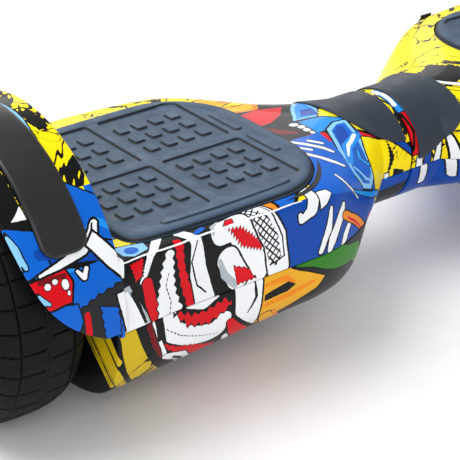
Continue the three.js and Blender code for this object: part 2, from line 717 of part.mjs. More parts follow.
addPair('bottom_shell', bottomShell(), materials.lowerPrint);
addPair('bumper_strip', bumperStrip(), materials.blackRubber);
addPair('foot_pad', footPad(), materials.padRubber);
addPair('sensor_board', sensorBoard(), materials.circuitBoard);
addPair('axle_clamp', axleClamp(), materials.castAluminium);
addPair('axle', axle(), materials.steel);
addPair('stator', stator(), materials.copper);
addPair('bearing_inner', bearing(W + 6), materials.steel);
addPair('bearing_outer', bearing(W + 38.3), materials.steel);
addPair('motor_cover', motorCover(), materials.paintedRim);
addPair('magnet_ring', magnetRing(), materials.magnet);
addPair('rim', rim(), materials.paintedRim);
addPair('tyre', tyre(), materials.tyreRubber);
addPair('hub_cap', hubCap(), materials.capSilver);
CLAMP_BOLT_PLACES.forEach((place, i) => {
  addPair(`clamp_bolt_${i + 1}`, clampBolt(place), materials.steel);
});
SCREW_PLACES.forEach((place, i) => {
  addPair(`belly_screw_${i + 1}`, bottomScrew(place), materials.steel);
});

// The two inlays are alike: the left one is the right one turned half round about the vertical.
const trim = neckTrim();
addPiece('neck_trim_right', trim, materials.trimPlastic);
addPiece('neck_trim_left', trim.mirror([1, 0, 0]).mirror([0, 1, 0]), materials.trimPlastic);

// The pivot tube is clamped in the left frame and turns in two bushes in the right frame.
const fixedBore = TUBE_RADIUS + GAP;
const bushBore = TUBE_RADIUS + 2 * GAP + BUSH_WALL;
addPiece('chassis_left', chassis(fixedBore).mirror([1, 0, 0]), materials.castAluminium);
addPiece('chassis_right', chassis(bushBore), materials.castAluminium);
addPiece('pivot_tube', pivotTube(), materials.steel);
addPiece('pivot_bush_inner', ring(bushBore - GAP, TUBE_RADIUS + GAP, 10, 26), materials.bronze);
addPiece('pivot_bush_outer', ring(bushBore - GAP, TUBE_RADIUS + GAP, 40, 54), materials.bronze);
addPiece('pivot_collar', ring(bushBore - GAP, TUBE_RADIUS + GAP, 55, 59), materials.steel);
addPiece('wire_loom', wireLoom(), materials.cableRed);

addPiece('battery_pack', batteryPack().mirror([1, 0, 0]), materials.batteryWrap);
addPiece('main_board', mainBoard(), materials.circuitBoard);
addPiece('board_tray', boardTray(), materials.blackPlastic);
addPiece('charge_port', chargePort(), materials.blackPlastic);
addPiece('charge_cap', chargeCap(), materials.blackRubber);
addPiece('cap_hinge', capHinge(), materials.blackRubber);
addPiece('button_bezel', buttonBezel(), materials.blackPlastic);
addPiece('power_button', powerButton(), materials.capSilver);

export default board;
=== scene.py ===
import math

import bmesh
import bpy
import numpy as np
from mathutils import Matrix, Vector


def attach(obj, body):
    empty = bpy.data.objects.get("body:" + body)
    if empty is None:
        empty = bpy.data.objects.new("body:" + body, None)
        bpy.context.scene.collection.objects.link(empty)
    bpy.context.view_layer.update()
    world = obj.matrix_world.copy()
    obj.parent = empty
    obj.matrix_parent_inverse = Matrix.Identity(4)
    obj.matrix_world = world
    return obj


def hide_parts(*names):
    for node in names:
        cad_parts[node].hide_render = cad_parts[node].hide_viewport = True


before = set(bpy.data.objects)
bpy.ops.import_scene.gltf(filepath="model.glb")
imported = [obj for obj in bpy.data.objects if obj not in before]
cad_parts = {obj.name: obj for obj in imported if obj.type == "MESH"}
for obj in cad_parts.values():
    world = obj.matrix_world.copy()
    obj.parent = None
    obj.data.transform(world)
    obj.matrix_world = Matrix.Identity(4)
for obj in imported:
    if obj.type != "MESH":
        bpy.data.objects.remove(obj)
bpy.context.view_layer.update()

scene = bpy.context.scene

# ---- driving dimensions, in millimetres, the same as the part's own ------------------------------

MM = 0.001
GAP = 0.3
WALL = 2.6
AXLE_HEIGHT = 82.5
WHEEL_INNER = 271
TYRE_WIDTH = 54
RIM_RADIUS = 59.7
SPLIT = 0.75
BODY_END = 262
SEAM_HEIGHT = 74.5
DECK_HEIGHT = 116
BELLY_HEIGHT = 17
FENDER_RADIUS = 95.5
FENDER_WALL = 2.9
FENDER_INNER = 257
FENDER_END_ANGLE = -3.4
STRIP_RADIUS = 97.8
STRIP_INNER = 271
STRIP_OUTER = 299
STRIP_END_ANGLE = 28
STRIP_CORNER = 9
STRIP_EDGE = 2.2
STRIP_CROWN = 0.35
FENDER_OUTER = 316
FENDER_CUT = 46
FENDER_CUT_ANGLE = 14
NECK_HOLE_RADIUS = 25
TRIM_INNER = 4.5
TRIM_TIP = 2
TRIM_SPAN = 38
TRIM_ANGLES = (-3, 157)
TRIM_LIFT = GAP + 0.1
TRIM_THICKNESS = 0.95
TRIM_EDGE_SHARE = 0.012
PAD_INNER = 93
PAD_OUTER = 243
PAD_HALF_WIDTH = 81.5
PAD_REAR_REACH = 74
PAD_TOP = 118.4
PAD_BOTTOM = 114.8
PAD_CORNER = 15
PAD_NOSE_LENGTH = 48
PAD_NOSE_WIDTH = 56
POCKET_FLOOR = 113.2
POCKET_MARGIN = 0.7
PLUNGER_X = 160
PLUNGER_Y = 45
SCREW_PLACES = ((105, 57), (105, -57), (228, 54), (228, -54))
PLUNGER_HOLE_RADIUS = 6.5
PLATE_MARGIN = 3.5
AXLE_SLOT_HALF = 14
REAR_HOLE_RADIUS = 9.3
REAR_HOLE_DEPTH = 20
SCREW_SEAT = 37
BOSS_TOP = 44
BOSS_RADIUS = 8
SCREW_HEAD_HOLE = 5
SCREW_SHANK_HOLE = 2.6
PORT_X = 128
BUTTON_X = 164
PORT_Z = 96
REAR_FACE = 90
CAP_FACE = REAR_FACE + 1.4 + GAP
CAP_THICKNESS = 1.7


# ---- the body surface ----------------------------------------------------------------------------

QUARTER_POINTS = 400


def ease(t):
    """A smooth step from 0 to 1 as t goes from 0 to 1, for a number or an array."""
    share = np.clip(t, 0, 1)
    return share * share * (3 - 2 * share)


def mix(a, b, t):
    """The value a share t of the way from a to b."""
    return a + (b - a) * t


def section_at(x):
    """Half width, top, bottom, waist and the two powers of the body's section at distance x, which
    may be an array."""
    spread = ease((x - 25) / 96) ** 0.52
    return {
        "half": mix(36.5, 90, spread) + 2.5 * ease((x - 215) / 40),
        "top": mix(114.3, 116, ease((x - 30) / 56)),
        "bottom": mix(42, 24, ease((x - 47) / 48)) - 7.4 * ease((x - 110) / 145),
        "waist": mix(83, 79.5, ease((x - 38) / 60)),
        "upper": 2 + 34 * ease((x - 30) / 185) ** 2,
        "lower": 2 + 1.1 * ease((x - 62) / 22),
    }


def body_point(x, degrees, rise=0.0):
    """A point of the body surface, lifted by rise, at an angle from the front waist over the top."""
    s = section_at(x)
    side, up = math.cos(math.radians(degrees)), math.sin(math.radians(degrees))
    power = s["upper"] if up >= 0 else s["lower"]
    height = s["top"] - s["waist"] if up >= 0 else s["waist"] - s["bottom"]
    y = -math.copysign((s["half"] + rise) * abs(side) ** (2 / power), side)
    z = s["waist"] + math.copysign((height + rise) * abs(up) ** (2 / power), up)
    return x, y, z


def quarter(power):
    """A quarter superellipse from the waist (1, 0) to the crest (0, 1), as rows of (across, up)."""
    up = np.linspace(0, 0.5 ** (1 / power), QUARTER_POINTS)
    across = (1 - up ** power) ** (1 / power)
    rest = np.linspace(across[-1], 0, QUARTER_POINTS)[1:]
    crest = (1 - rest ** power) ** (1 / power)
    return np.concatenate([np.stack([across, up], 1), np.stack([rest, crest], 1)])


def resample(points, count):
    """Points along a polyline, shared out by its length and by how far it turns."""
    steps = np.diff(points, axis=0)
    lengths = np.hypot(steps[:, 0], steps[:, 1])
    keep = np.concatenate([[True], lengths > 1e-9])
    points = points[keep]
    steps = np.diff(points, axis=0)
    lengths = np.hypot(steps[:, 0], steps[:, 1])
    heading = np.unwrap(np.arctan2(steps[:, 1], steps[:, 0]))
    turning = np.abs(np.diff(heading, prepend=heading[0]))
    measure = np.concatenate([[0], np.cumsum(lengths / lengths.sum() + 0.9 * turning / math.pi)])
    wanted = np.linspace(0, measure[-1], count)
    return np.stack([np.interp(wanted, measure, points[:, k]) for k in (0, 1)], 1)


def section_arc(x, upper, inset, seam, count):
    """The (y, z) arc of the body's section on one side of the seam height, from front to back."""
    s = section_at(x)
    half, waist = s["half"] - inset, s["waist"]
    above, below = s["top"] - waist - inset, waist - s["bottom"] - inset
    low = quarter(s["lower"])
    reach = (waist - seam) / below
    edge = (1 - reach ** s["lower"]) ** (1 / s["lower"])
    side = low[low[:, 1] < reach][::-1] if upper else low[low[:, 1] > reach]
    side = np.concatenate([[[edge, reach]], side])
    front = np.stack([-half * side[:, 0], waist - below * side[:, 1]], 1)
    if upper:
        crest = quarter(s["upper"])
        rise = np.stack([-half * crest[:, 0], waist + above * crest[:, 1]], 1)
        front = np.concatenate([front, rise])
    back = front[::-1] * np.array([-1, 1])
    return resample(np.concatenate([front, back[1:]]), count)


# ---- meshes --------------------------------------------------------------------------------------

def link(name, mesh):
    """A new object of the scene from a mesh."""
    piece = bpy.data.objects.new(name, mesh)
    scene.collection.objects.link(piece)
    return piece


def build(name, points, faces, slots=None, merge=1e-5):
    """A mesh object from points in millimetres, with faces that look outward."""
    mesh = bpy.data.meshes.new(name)
    mesh.from_pydata((np.asarray(points, float) * MM).tolist(), [], faces)
    if slots is not None:
        mesh.polygons.foreach_set("material_index", np.asarray(slots, np.int32))
    work = bmesh.new()
    work.from_mesh(mesh)
    if merge:
        bmesh.ops.remove_doubles(work, verts=work.verts, dist=merge * MM)
    bmesh.ops.dissolve_degenerate(work, dist=1e-8, edges=work.edges)
    bmesh.ops.recalc_face_normals(work, faces=work.faces)
    if work.calc_volume(signed=True) < 0:
        bmesh.ops.reverse_faces(work, faces=work.faces)
    work.to_mesh(mesh)
    work.free()
    return link(name, mesh)


def smooth(piece, degrees=35):
    """Shades a piece smooth, with sharp edges where faces meet at more than some degrees."""
    mesh = piece.data
    mesh.polygons.foreach_set("use_smooth", np.ones(len(mesh.polygons), bool))
    mesh.set_sharp_from_angle(angle=math.radians(degrees))


def set_slot(piece, slot):
    """Gives every face of a piece one material slot."""
    faces = piece.data.polygons
    faces.foreach_set("material_index", np.full(len(faces), slot, np.int32))


def values_of(items, name, width=1, kind=float):
    """One property of every item: an array of numbers, or of rows of width numbers."""
    found = np.empty(len(items) * width, kind)
    items.foreach_get(name, found)
    return found.reshape(-1, width) if width > 1 else found


def combine(piece, other, operation):
    """Applies an exact boolean of other to piece, and removes other."""
    modifier = piece.modifiers.new("combine", "BOOLEAN")
    modifier.operation = operation
    modifier.solver = "EXACT"
    modifier.object = other
    depsgraph = bpy.context.evaluated_depsgraph_get()
    result = bpy.data.meshes.new_from_object(piece.evaluated_get(depsgraph))
    result.name = piece.name
    piece.modifiers.clear()
    piece.data = result
    bpy.data.objects.remove(other)


def mirrored(piece, name, flip_y=False):
    """A copy mirrored in X, or turned half round about the vertical."""
    mesh = piece.data.copy()
    mesh.name = name
    work = bmesh.new()
    work.from_mesh(mesh)
    for vertex in work.verts:
        vertex.co.x = -vertex.co.x
        if flip_y:
            vertex.co.y = -vertex.co.y
    if not flip_y:
        bmesh.ops.reverse_faces(work, faces=work.faces)
    work.to_mesh(mesh)
    work.free()
    return link(name, mesh)


def loop_loft(name, loops, slots_of, end_caps, cap_slots):
    """Skins closed loops with equal point counts. slots_of(k) gives the slot of the faces between
    points k and k + 1. end_caps lists the faces that close an end, by index in the loop."""
    count = len(loops[0])
    points = np.concatenate(loops)
    faces, slots = [], []
    for row in range(len(loops) - 1):
        for k in range(count):
            a, b = row * count + k, row * count + (k + 1) % count
            faces.append((a, b, b + count, a + count))
            slots.append(slots_of(k))
    last = (len(loops) - 1) * count
    for base, cap_slot in zip((0, last), cap_slots):
        for cap in end_caps:
            faces.append(tuple(base + k for k in cap))
            slots.append(cap_slot)
    return build(name, points, faces, slots)


def ring_faces(rows, count):
    """Quads between neighbouring rows of count points, closed both ways round."""
    faces = []
    for row in range(rows):
        here, following = row * count, (row + 1) % rows * count
        for k in range(count):
            n = (k + 1) % count
            faces.append((here + k, here + n, following + n, following + k))
    return faces


def lathe(name, profile, segments, centre=(0, 0, AXLE_HEIGHT), axis="x"):
    """A closed profile of (along, radius) points turned about an axis through centre."""
    angles = np.arange(segments) * 2 * math.pi / segments
    profile = np.asarray(profile, float)
    along = np.repeat(profile[None, :, 0], segments, 0)
    a = profile[None, :, 1] * np.cos(angles)[:, None]
    b = profile[None, :, 1] * np.sin(angles)[:, None]
    order = {"x": (along, a, b), "y": (a, along, b), "z": (a, b, along)}[axis]
    points = np.stack(order, -1).reshape(-1, 3) + np.asarray(centre, float)
    return build(name, points, ring_faces(segments, len(profile)))


def softened(profile, radius, steps=3):
    """A closed profile with its corners rounded. A third number in a point is its own radius."""
    result = []
    count = len(profile)
    for k in range(count):
        here = np.array(profile[k][:2], float)
        own = profile[k][2] if len(profile[k]) > 2 else radius
        before = np.array(profile[k - 1][:2], float) - here
        after = np.array(profile[(k + 1) % count][:2], float) - here
        lengths = np.linalg.norm(before), np.linalg.norm(after)
        if own <= 0 or min(lengths) < 1e-6 or here[1] < 1e-6:
            result.append(here)
            continue
        reach = min(own, 0.45 * lengths[0], 0.45 * lengths[1])
        start, end = here + before / lengths[0] * reach, here + after / lengths[1] * reach
        for t in np.linspace(0, 1, steps + 1):
            result.append((1 - t) ** 2 * start + 2 * t * (1 - t) * here + t * t * end)
    return result


def edge_steps(length, radius, steps, interior):
    """Places along a length with how full the plate is there: rounded over at both ends."""
    radius = min(radius, length * 0.45)
    turn = np.linspace(0, math.pi / 2, steps + 1)
    edge, fill = radius * (1 - np.cos(turn)), np.sin(turn)
    middle = np.linspace(radius, length - radius, interior + 2)[1:-1]
    places = np.concatenate([edge, middle, (length - edge)[::-1]])
    return places, np.concatenate([fill, np.ones(interior), fill[::-1]])


def plate(name, rows, columns_of, upper, lower, slots=(0, 0)):
    """A thin closed plate over a grid. rows is (parameter, fill) pairs, columns_of(row) the same for
    a row's columns, and upper and lower give the points of the two faces for a fill from 0 to 1."""
    faces_of = []
    for place in (upper, lower):
        grid = []
        for u, fill_u in rows:
            across, fills = columns_of(u)
            grid.append([place(u, v, fill_u * fill_v) for v, fill_v in zip(across, fills)])
        faces_of.append(np.array(grid))
    height, width = faces_of[0].shape[:2]
    points = np.concatenate([g.reshape(-1, 3) for g in faces_of])
    faces, marks = [], []
    for side in (0, 1):
        base = side * height * width
        for r in range(height - 1):
            for c in range(width - 1):
                a = base + r * width + c
                quad = (a, a + 1, a + 1 + width, a + width)
                faces.append(quad if side == 0 else quad[::-1])
                marks.append(slots[side])
    return build(name, points, faces, marks, merge=1e-3)


def around_axle(x, radius, degrees):
    """A point at a radius from the axle line, at an angle from the front over the top."""
    a = math.radians(degrees)
    return x, -radius * math.cos(a), AXLE_HEIGHT + radius * math.sin(a)


def box(name, x0, x1, y0, y1, z0, z1):
    """A cutting box, in the slot of the hidden inside faces."""
    points = [(x, y, z) for x in (x0, x1) for y in (y0, y1) for z in (z0, z1)]
    faces = [(0, 1, 3, 2), (4, 6, 7, 5), (0, 4, 5, 1), (2, 3, 7, 6), (0, 2, 6, 4), (1, 5, 7, 3)]
    return build(name, points, faces, [2] * 6)


def rod(name, radius, low, high, centre, axis, segments=48):
    """A cylinder from low to high along an axis, in the slot of the hidden inside faces."""
    profile = [(low, 0), (low, radius), (high, radius), (high, 0)]
    piece = lathe(name, profile, segments, centre, axis)
    set_slot(piece, 2)
    return piece


def prism(name, outline, low, high, axis="z", slot=2):
    """An outline pushed along an axis from low to high."""
    count = len(outline)
    order = {"x": lambda u, v, along: (along, u, v), "y": lambda u, v, along: (u, along, v),
             "z": lambda u, v, along: (u, v, along)}[axis]
    points = [order(u, v, along) for along in (low, high) for u, v in outline]
    faces = [(k, (k + 1) % count, count + (k + 1) % count, count + k) for k in range(count)]
    faces += [tuple(range(count))[::-1], tuple(range(count, 2 * count))]
    return build(name, points, faces, [slot] * len(faces))


# ---- shells --------------------------------------------------------------------------------------

OUTER_COUNT, INNER_COUNT = 150, 150
SEAM_ROUND = 0.8
SEAM_TURNS = (0, 25, 50, 75)  # the points of a rounded seam edge, in degrees
END_ROUND = 1.3
TUCK_START, TUCK_LENGTH = 236, 19  # the top shell draws in under the fender from here, over this length
TUCK_FREE, TUCK_DEPTH = 2.9, 3.3  # its reach past the fender's radius before that, and how far it draws in
NORMAL_STEP = 0.02
ON_SURFACE = 0.0006  # how far a point's level may be from 1 to count as on the body's surface
NORMAL_AGREEMENT = 0.85  # how well a face must follow the surface to take its normal


def tucked(arc, x, inset):
    """Draws an arc's points in towards the axle line near the wheel, so the body meets the fender."""
    limit = FENDER_RADIUS + TUCK_FREE - TUCK_DEPTH * ease((x - TUCK_START) / TUCK_LENGTH) - inset
    across, up = arc[:, 0], arc[:, 1] - AXLE_HEIGHT
    scale = np.minimum(1.0, limit / np.maximum(np.hypot(across, up), 1e-6))
    return np.stack([across * scale, AXLE_HEIGHT + up * scale], 1)


def shell_loop(x, upper, inset, hole=False, flat_inner=False):
    """One closed loop of a half shell: rounded seam edge, outer arc, rounded edge, inner arc."""
    sign = 1 if upper else -1
    seam = SEAM_HEIGHT + sign * GAP / 2
    outer = section_arc(x, upper, inset, seam + sign * SEAM_ROUND, OUTER_COUNT)
    if upper:
        outer = tucked(outer, x, inset)
    turn = np.radians(SEAM_TURNS)
    rounding_front = np.stack([
        outer[0, 0] + SEAM_ROUND * (1 - np.sin(turn)),
        np.full(len(turn), seam) + sign * SEAM_ROUND * (1 - np.cos(turn)),
    ], 1)
    rounding_back = rounding_front[::-1] * np.array([-1, 1])
    if hole:
        start = math.asin((seam - AXLE_HEIGHT) / NECK_HOLE_RADIUS)
        sweep = np.linspace(start, sign * math.pi - start, INNER_COUNT)
        across, rise = NECK_HOLE_RADIUS * np.cos(sweep), NECK_HOLE_RADIUS * np.sin(sweep)
        inner = np.stack([-across, AXLE_HEIGHT + rise], 1)
    elif flat_inner:
        reach = outer[0, 0] + WALL
        inner = np.stack([np.linspace(reach, -reach, INNER_COUNT), np.full(INNER_COUNT, seam)], 1)
    else:
        inner = section_arc(x, upper, WALL, seam, INNER_COUNT)
        if upper:
            inner = tucked(inner, x, WALL)
    loop = np.concatenate([rounding_front, outer, rounding_back, inner[::-1]])
    return np.concatenate([np.full((len(loop), 1), x), loop], 1)


def half_shell(name, upper):
    """The curved body part of a shell, from the slit to the wheel wall."""
    turn = np.radians([0, 22, 45, 67])
    starts = [(SPLIT + END_ROUND * (1 - math.cos(a)), END_ROUND * (1 - math.sin(a))) for a in turn]
    loops = [shell_loop(x, upper, inset, hole=True) for x, inset in starts]
    loops += [shell_loop(x, upper, 0, hole=True) for x in (SPLIT + END_ROUND, SPLIT + WALL)]
    loops.append(shell_loop(SPLIT + WALL + 0.02, upper, 0))
    stations = np.concatenate([np.arange(5, 132, 1.6), np.arange(133.5, BODY_END - WALL - 1, 3)])
    loops += [shell_loop(x, upper, 0) for x in stations]
    if upper:
        loops += [shell_loop(x, upper, 0) for x in (BODY_END - WALL, BODY_END - 0.5)]
    else:
        loops.append(shell_loop(BODY_END - WALL, upper, 0))
        loops.append(shell_loop(BODY_END - WALL + 0.02, upper, 0, flat_inner=True))
        turn = np.radians([0, 30, 60, 90])
        for a in turn:
            x, inset = BODY_END - 1 + math.sin(a), 1 - math.cos(a)
            loops.append(shell_loop(x, upper, inset, flat_inner=True))
    rounding = len(SEAM_TURNS)
    film = OUTER_COUNT + 2 * rounding
    total = film + INNER_COUNT
    caps = []
    # the outer run (rounding and arc) has more points than the inner one, so the extra ones fan out
    inner = [total - 1 - k for k in range(INNER_COUNT)]
    for k in range(rounding):
        caps.append((k, k + 1, inner[0]))
    for k in range(INNER_COUNT - 1):
        caps.append((rounding + k, rounding + k + 1, inner[k + 1], inner[k]))
    for k in range(film - rounding - 1, film - 1):
        caps.append((k, k + 1, inner[-1]))
    return loop_loft(name, loops, lambda k: 0 if k < film - 1 else 2, caps, (2, 2 if upper else 0))


def pad_outline(grow, steps=16):
    """Half board pad outline as (x, y) points for the right half."""
    outer, inner = PAD_OUTER + grow, PAD_INNER - grow
    half = PAD_HALF_WIDTH + grow
    end, corner = half - 2.5, PAD_CORNER + grow
    nose_x, nose_y = inner + PAD_NOSE_LENGTH, half - PAD_NOSE_WIDTH

    def curve(a, b, c, count):
        return [((1 - t) ** 2 * a[0] + 2 * t * (1 - t) * b[0] + t * t * c[0],
                 (1 - t) ** 2 * a[1] + 2 * t * (1 - t) * b[1] + t * t * c[1])
                for t in np.linspace(0, 1, count + 1)[1:]]

    side = [(outer, end - corner)]
    side += curve(side[-1], (outer, end), (outer - corner, end + 0.4), steps)
    side += curve(side[-1], ((outer + nose_x) / 2, half + 1), (nose_x, half), steps * 2)
    for a in np.linspace(math.pi / 2, math.pi, steps * 3 + 1)[1:]:
        side.append((nose_x + PAD_NOSE_LENGTH * math.cos(a), nose_y + PAD_NOSE_WIDTH * math.sin(a)))
    rear = (PAD_REAR_REACH + grow) / half
    return [(x, y * rear) for x, y in side] + [(x, -y) for x, y in side[::-1]]


def fender_edge(degrees):
    """How far out the fender reaches: cut back near its two ends."""
    from_end = min(degrees, 180 - degrees) - FENDER_END_ANGLE
    return FENDER_OUTER - FENDER_CUT * math.exp(-from_end / FENDER_CUT_ANGLE)


def fender_piece(name):
    """The arch over the wheel, as a thin plate round the axle line."""
    arc = math.radians(180 - 2 * FENDER_END_ANGLE) * FENDER_RADIUS
    places, fills = edge_steps(arc, 1.4, 4, 190)
    rows = [(FENDER_END_ANGLE + math.degrees(p / FENDER_RADIUS), f) for p, f in zip(places, fills)]
    half = FENDER_WALL / 2

    def columns(degrees):
        across, full = edge_steps(fender_edge(degrees) - FENDER_INNER, 1.45, 5, 12)
        return across + FENDER_INNER, full

    def outer(degrees, x, fill):
        return around_axle(x, FENDER_RADIUS - half + half * fill, degrees)

    def inner(degrees, x, fill):
        return around_axle(x, FENDER_RADIUS - half - half * fill, degrees)

    return plate(name, rows, columns, outer, inner, (1, 2))


def top_shell(side):
    """The body part with the wheel wall, the fender, the pad's pocket and its holes."""
    shell = half_shell(f"top_shell_{side}_body", True)
    axle_line = (0, 0, AXLE_HEIGHT)
    wall = rod("wheel_wall", FENDER_RADIUS - 0.05, BODY_END - WALL, BODY_END, axle_line, "x", 180)
    set_slot(wall, 1)
    combine(wall, box("cut", 250, 270, -120, 120, -60, SEAM_HEIGHT + GAP / 2), "DIFFERENCE")
    combine(shell, wall, "UNION")
    combine(shell, fender_piece("fender"), "UNION")
    plate_outline, pocket_outline = pad_outline(PLATE_MARGIN), pad_outline(POCKET_MARGIN)
    combine(shell, prism("plate", plate_outline, POCKET_FLOOR - WALL, DECK_HEIGHT - 1), "UNION")
    combine(shell, prism("pocket", pocket_outline, POCKET_FLOOR, DECK_HEIGHT + 5, slot=3), "DIFFERENCE")
    for y in (-PLUNGER_Y, PLUNGER_Y):
        hole = rod("hole", PLUNGER_HOLE_RADIUS, POCKET_FLOOR - 8, POCKET_FLOOR + 8, (PLUNGER_X, y, 0), "z")
        combine(shell, hole, "DIFFERENCE")
    slot = box("slot", 254, 264, -AXLE_SLOT_HALF, AXLE_SLOT_HALF, 60, AXLE_HEIGHT + AXLE_SLOT_HALF)
    combine(shell, slot, "DIFFERENCE")
    if side == "right":
        for x in (PORT_X, BUTTON_X):
            low, high = REAR_FACE - REAR_HOLE_DEPTH, REAR_FACE + REAR_HOLE_DEPTH
            combine(shell, rod("hole", REAR_HOLE_RADIUS, low, high, (x, 0, PORT_Z), "y"), "DIFFERENCE")
    return shell


def bottom_shell(side):
    """The body part with its screw bosses and the slot for the axle."""
    shell = half_shell(f"bottom_shell_{side}_body", False)
    for x, y in SCREW_PLACES:
        boss = rod("boss", BOSS_RADIUS, belly_height(x, y) + 0.6, BOSS_TOP, (x, y, 0), "z")
        combine(shell, boss, "UNION")
        combine(shell, rod("hole", SCREW_HEAD_HOLE, 0, SCREW_SEAT, (x, y, 0), "z"), "DIFFERENCE")
        combine(shell, rod("hole", SCREW_SHANK_HOLE, 0, BOSS_TOP + 5, (x, y, 0), "z", 24), "DIFFERENCE")
    combine(shell, box("slot", 254, 264, -AXLE_SLOT_HALF, AXLE_SLOT_HALF, 64, 90), "DIFFERENCE")
    return shell


def belly_height(x, y):
    """Height of the belly's outer face under the far side of a boss at (x, y)."""
    s = section_at(x)
    across = min(0.999, (abs(y) + BOSS_RADIUS) / s["half"])
    return s["waist"] - (s["waist"] - s["bottom"]) * (1 - across ** s["lower"]) ** (1 / s["lower"])


def true_normals(piece):
    """Gives the film faces of the body the smooth surface's own normals, so gloss runs clean
    past the cuts."""
    mesh = piece.data
    smooth(piece)
    corners = values_of(mesh.loops, "vertex_index", kind=np.int32)
    at = (values_of(mesh.vertices, "co", 3) / MM)[corners]
    found = values_of(mesh.corner_normals, "vector", 3)
    faces = values_of(mesh.polygons, "normal", 3)
    totals = values_of(mesh.polygons, "loop_total", kind=np.int32)
    owner = np.repeat(np.arange(len(totals)), totals)
    sign = np.where(at[:, 0] < 0, -1.0, 1.0)
    place = at.copy()
    place[:, 0] *= sign

    def level(points):
        """1 on the body's surface, less inside and more outside."""
        s = section_at(points[:, 0])
        above = points[:, 2] >= s["waist"]
        power = np.where(above, s["upper"], s["lower"])
        height = np.where(above, s["top"] - s["waist"], s["waist"] - s["bottom"])
        across, up = np.abs(points[:, 1]) / s["half"], np.abs(points[:, 2] - s["waist"]) / height
        return (across ** power + up ** power) ** (1 / power)

    base = level(place)
    steps = np.eye(3) * NORMAL_STEP
    gradient = np.stack([level(place + step) - level(place - step) for step in steps], 1)
    gradient /= np.maximum(np.linalg.norm(gradient, axis=1), 1e-12)[:, None]
    gradient[:, 0] *= sign
    within = (place[:, 0] > SPLIT + END_ROUND) & (place[:, 0] < BODY_END - 1)
    on_surface = (np.abs(base - 1) < ON_SURFACE) & within
    agrees = (gradient * faces[owner]).sum(1) > NORMAL_AGREEMENT
    use = on_surface & agrees
    found[use] = gradient[use]
    mesh.normals_split_custom_set([tuple(n) for n in found])


top_right = top_shell("right")
top_left_source = top_shell("left")
top_left = mirrored(top_left_source, "top_shell_left_body")
bpy.data.objects.remove(top_left_source)
bottom_right = bottom_shell("right")
bottom_left = mirrored(bottom_right, "bottom_shell_left_body")
for shell in (top_right, top_left, bottom_right, bottom_left):
    true_normals(shell)


# ---- strips, trims and pads ----------------------------------------------------------------------

def bumper_strip(name):
    """The rubber band over the fender's crown: rounded corners, a rolled edge and a slight crown."""
    middle, half = (STRIP_INNER + STRIP_OUTER) / 2, (STRIP_OUTER - STRIP_INNER) / 2
    under = FENDER_RADIUS + GAP
    arc = math.radians(180 - 2 * STRIP_END_ANGLE) * STRIP_RADIUS
    places, fills = edge_steps(arc, STRIP_EDGE, 5, 150)
    known = dict(zip(places.tolist(), fills.tolist()))
    corner = np.linspace(0.12, STRIP_CORNER, 14)
    for place in np.concatenate([corner, arc - corner]):
        short = max(0, 1 - min(place, arc - place) / STRIP_EDGE)
        known[place] = math.sqrt(1 - short ** 2)
    rows = [(STRIP_END_ANGLE + math.degrees(place / STRIP_RADIUS), known[place]) for place in sorted(known)]

    def columns(degrees):
        from_end = math.radians(min(degrees, 180 - degrees) - STRIP_END_ANGLE) * STRIP_RADIUS
        into = min(1, max(0, 1 - from_end / STRIP_CORNER))
        reach = half - STRIP_CORNER * (1 - math.sqrt(1 - into * into * 0.99))
        across, full = edge_steps(2 * reach, 2.4, 6, 9)
        return across + middle - reach, full

    def outer(degrees, x, fill):
        crown = STRIP_CROWN * (1 - ((x - middle) / half) ** 2)
        return around_axle(x, under + (STRIP_RADIUS - under - STRIP_CROWN + crown) * fill, degrees)

    def inner(degrees, x, _fill):
        return around_axle(x, under, degrees)

    return plate(name, rows, columns, outer, inner)


def neck_trim(name):
    """The lens-shaped inlay that wraps the neck beside the slit."""
    rows = list(zip(*edge_steps(1, TRIM_EDGE_SHARE, 5, 108)))

    def columns(u):
        reach = TRIM_TIP + TRIM_SPAN * max(0, 1 - (2 * u - 1) ** 2) ** 0.6
        across, full = edge_steps(reach, 1.5, 5, 22)
        return across + TRIM_INNER, full

    def outer(u, x, fill):
        return body_point(x, mix(*TRIM_ANGLES, u), TRIM_LIFT + TRIM_THICKNESS * fill)

    def inner(u, x, _fill):
        return body_point(x, mix(*TRIM_ANGLES, u), TRIM_LIFT)

    return plate(name, rows, columns, outer, inner)


def soft_step(distance, width):
    """0 outside to 1 inside a shape, over the given width, for a signed distance negative inside."""
    return ease(0.5 - distance / width)


def rounded_box(x, y, cx, cy, half_x, half_y, corner):
    """Signed distance from a rounded rectangle, negative inside."""
    dx = np.abs(x - cx) - half_x + corner
    dy = np.abs(y - cy) - half_y + corner
    return np.hypot(np.maximum(dx, 0), np.maximum(dy, 0)) + np.minimum(np.maximum(dx, dy), 0) - corner


PANEL_SPANS_X = ((116, 171.5), (180, 235.5))
PANEL_SPANS_Y = ((2.5, 63.5), (-64.5, -5.5))
PANEL_DEPTH = 1.15
CLEAT_FIRST_COLUMNS = (127, 190.5)
CLEAT_ROWS = (15, 30.5, 46, -17, -32.5, -48)
CLEAT_PITCH = 12.5
CLEAT_LEAN = 0.025
CLEAT_HEIGHT = 1.2
WALL_RUN = 1.15  # how far a wall of the relief runs out
SKIRT = 5.0  # width of the pad's rounded edge


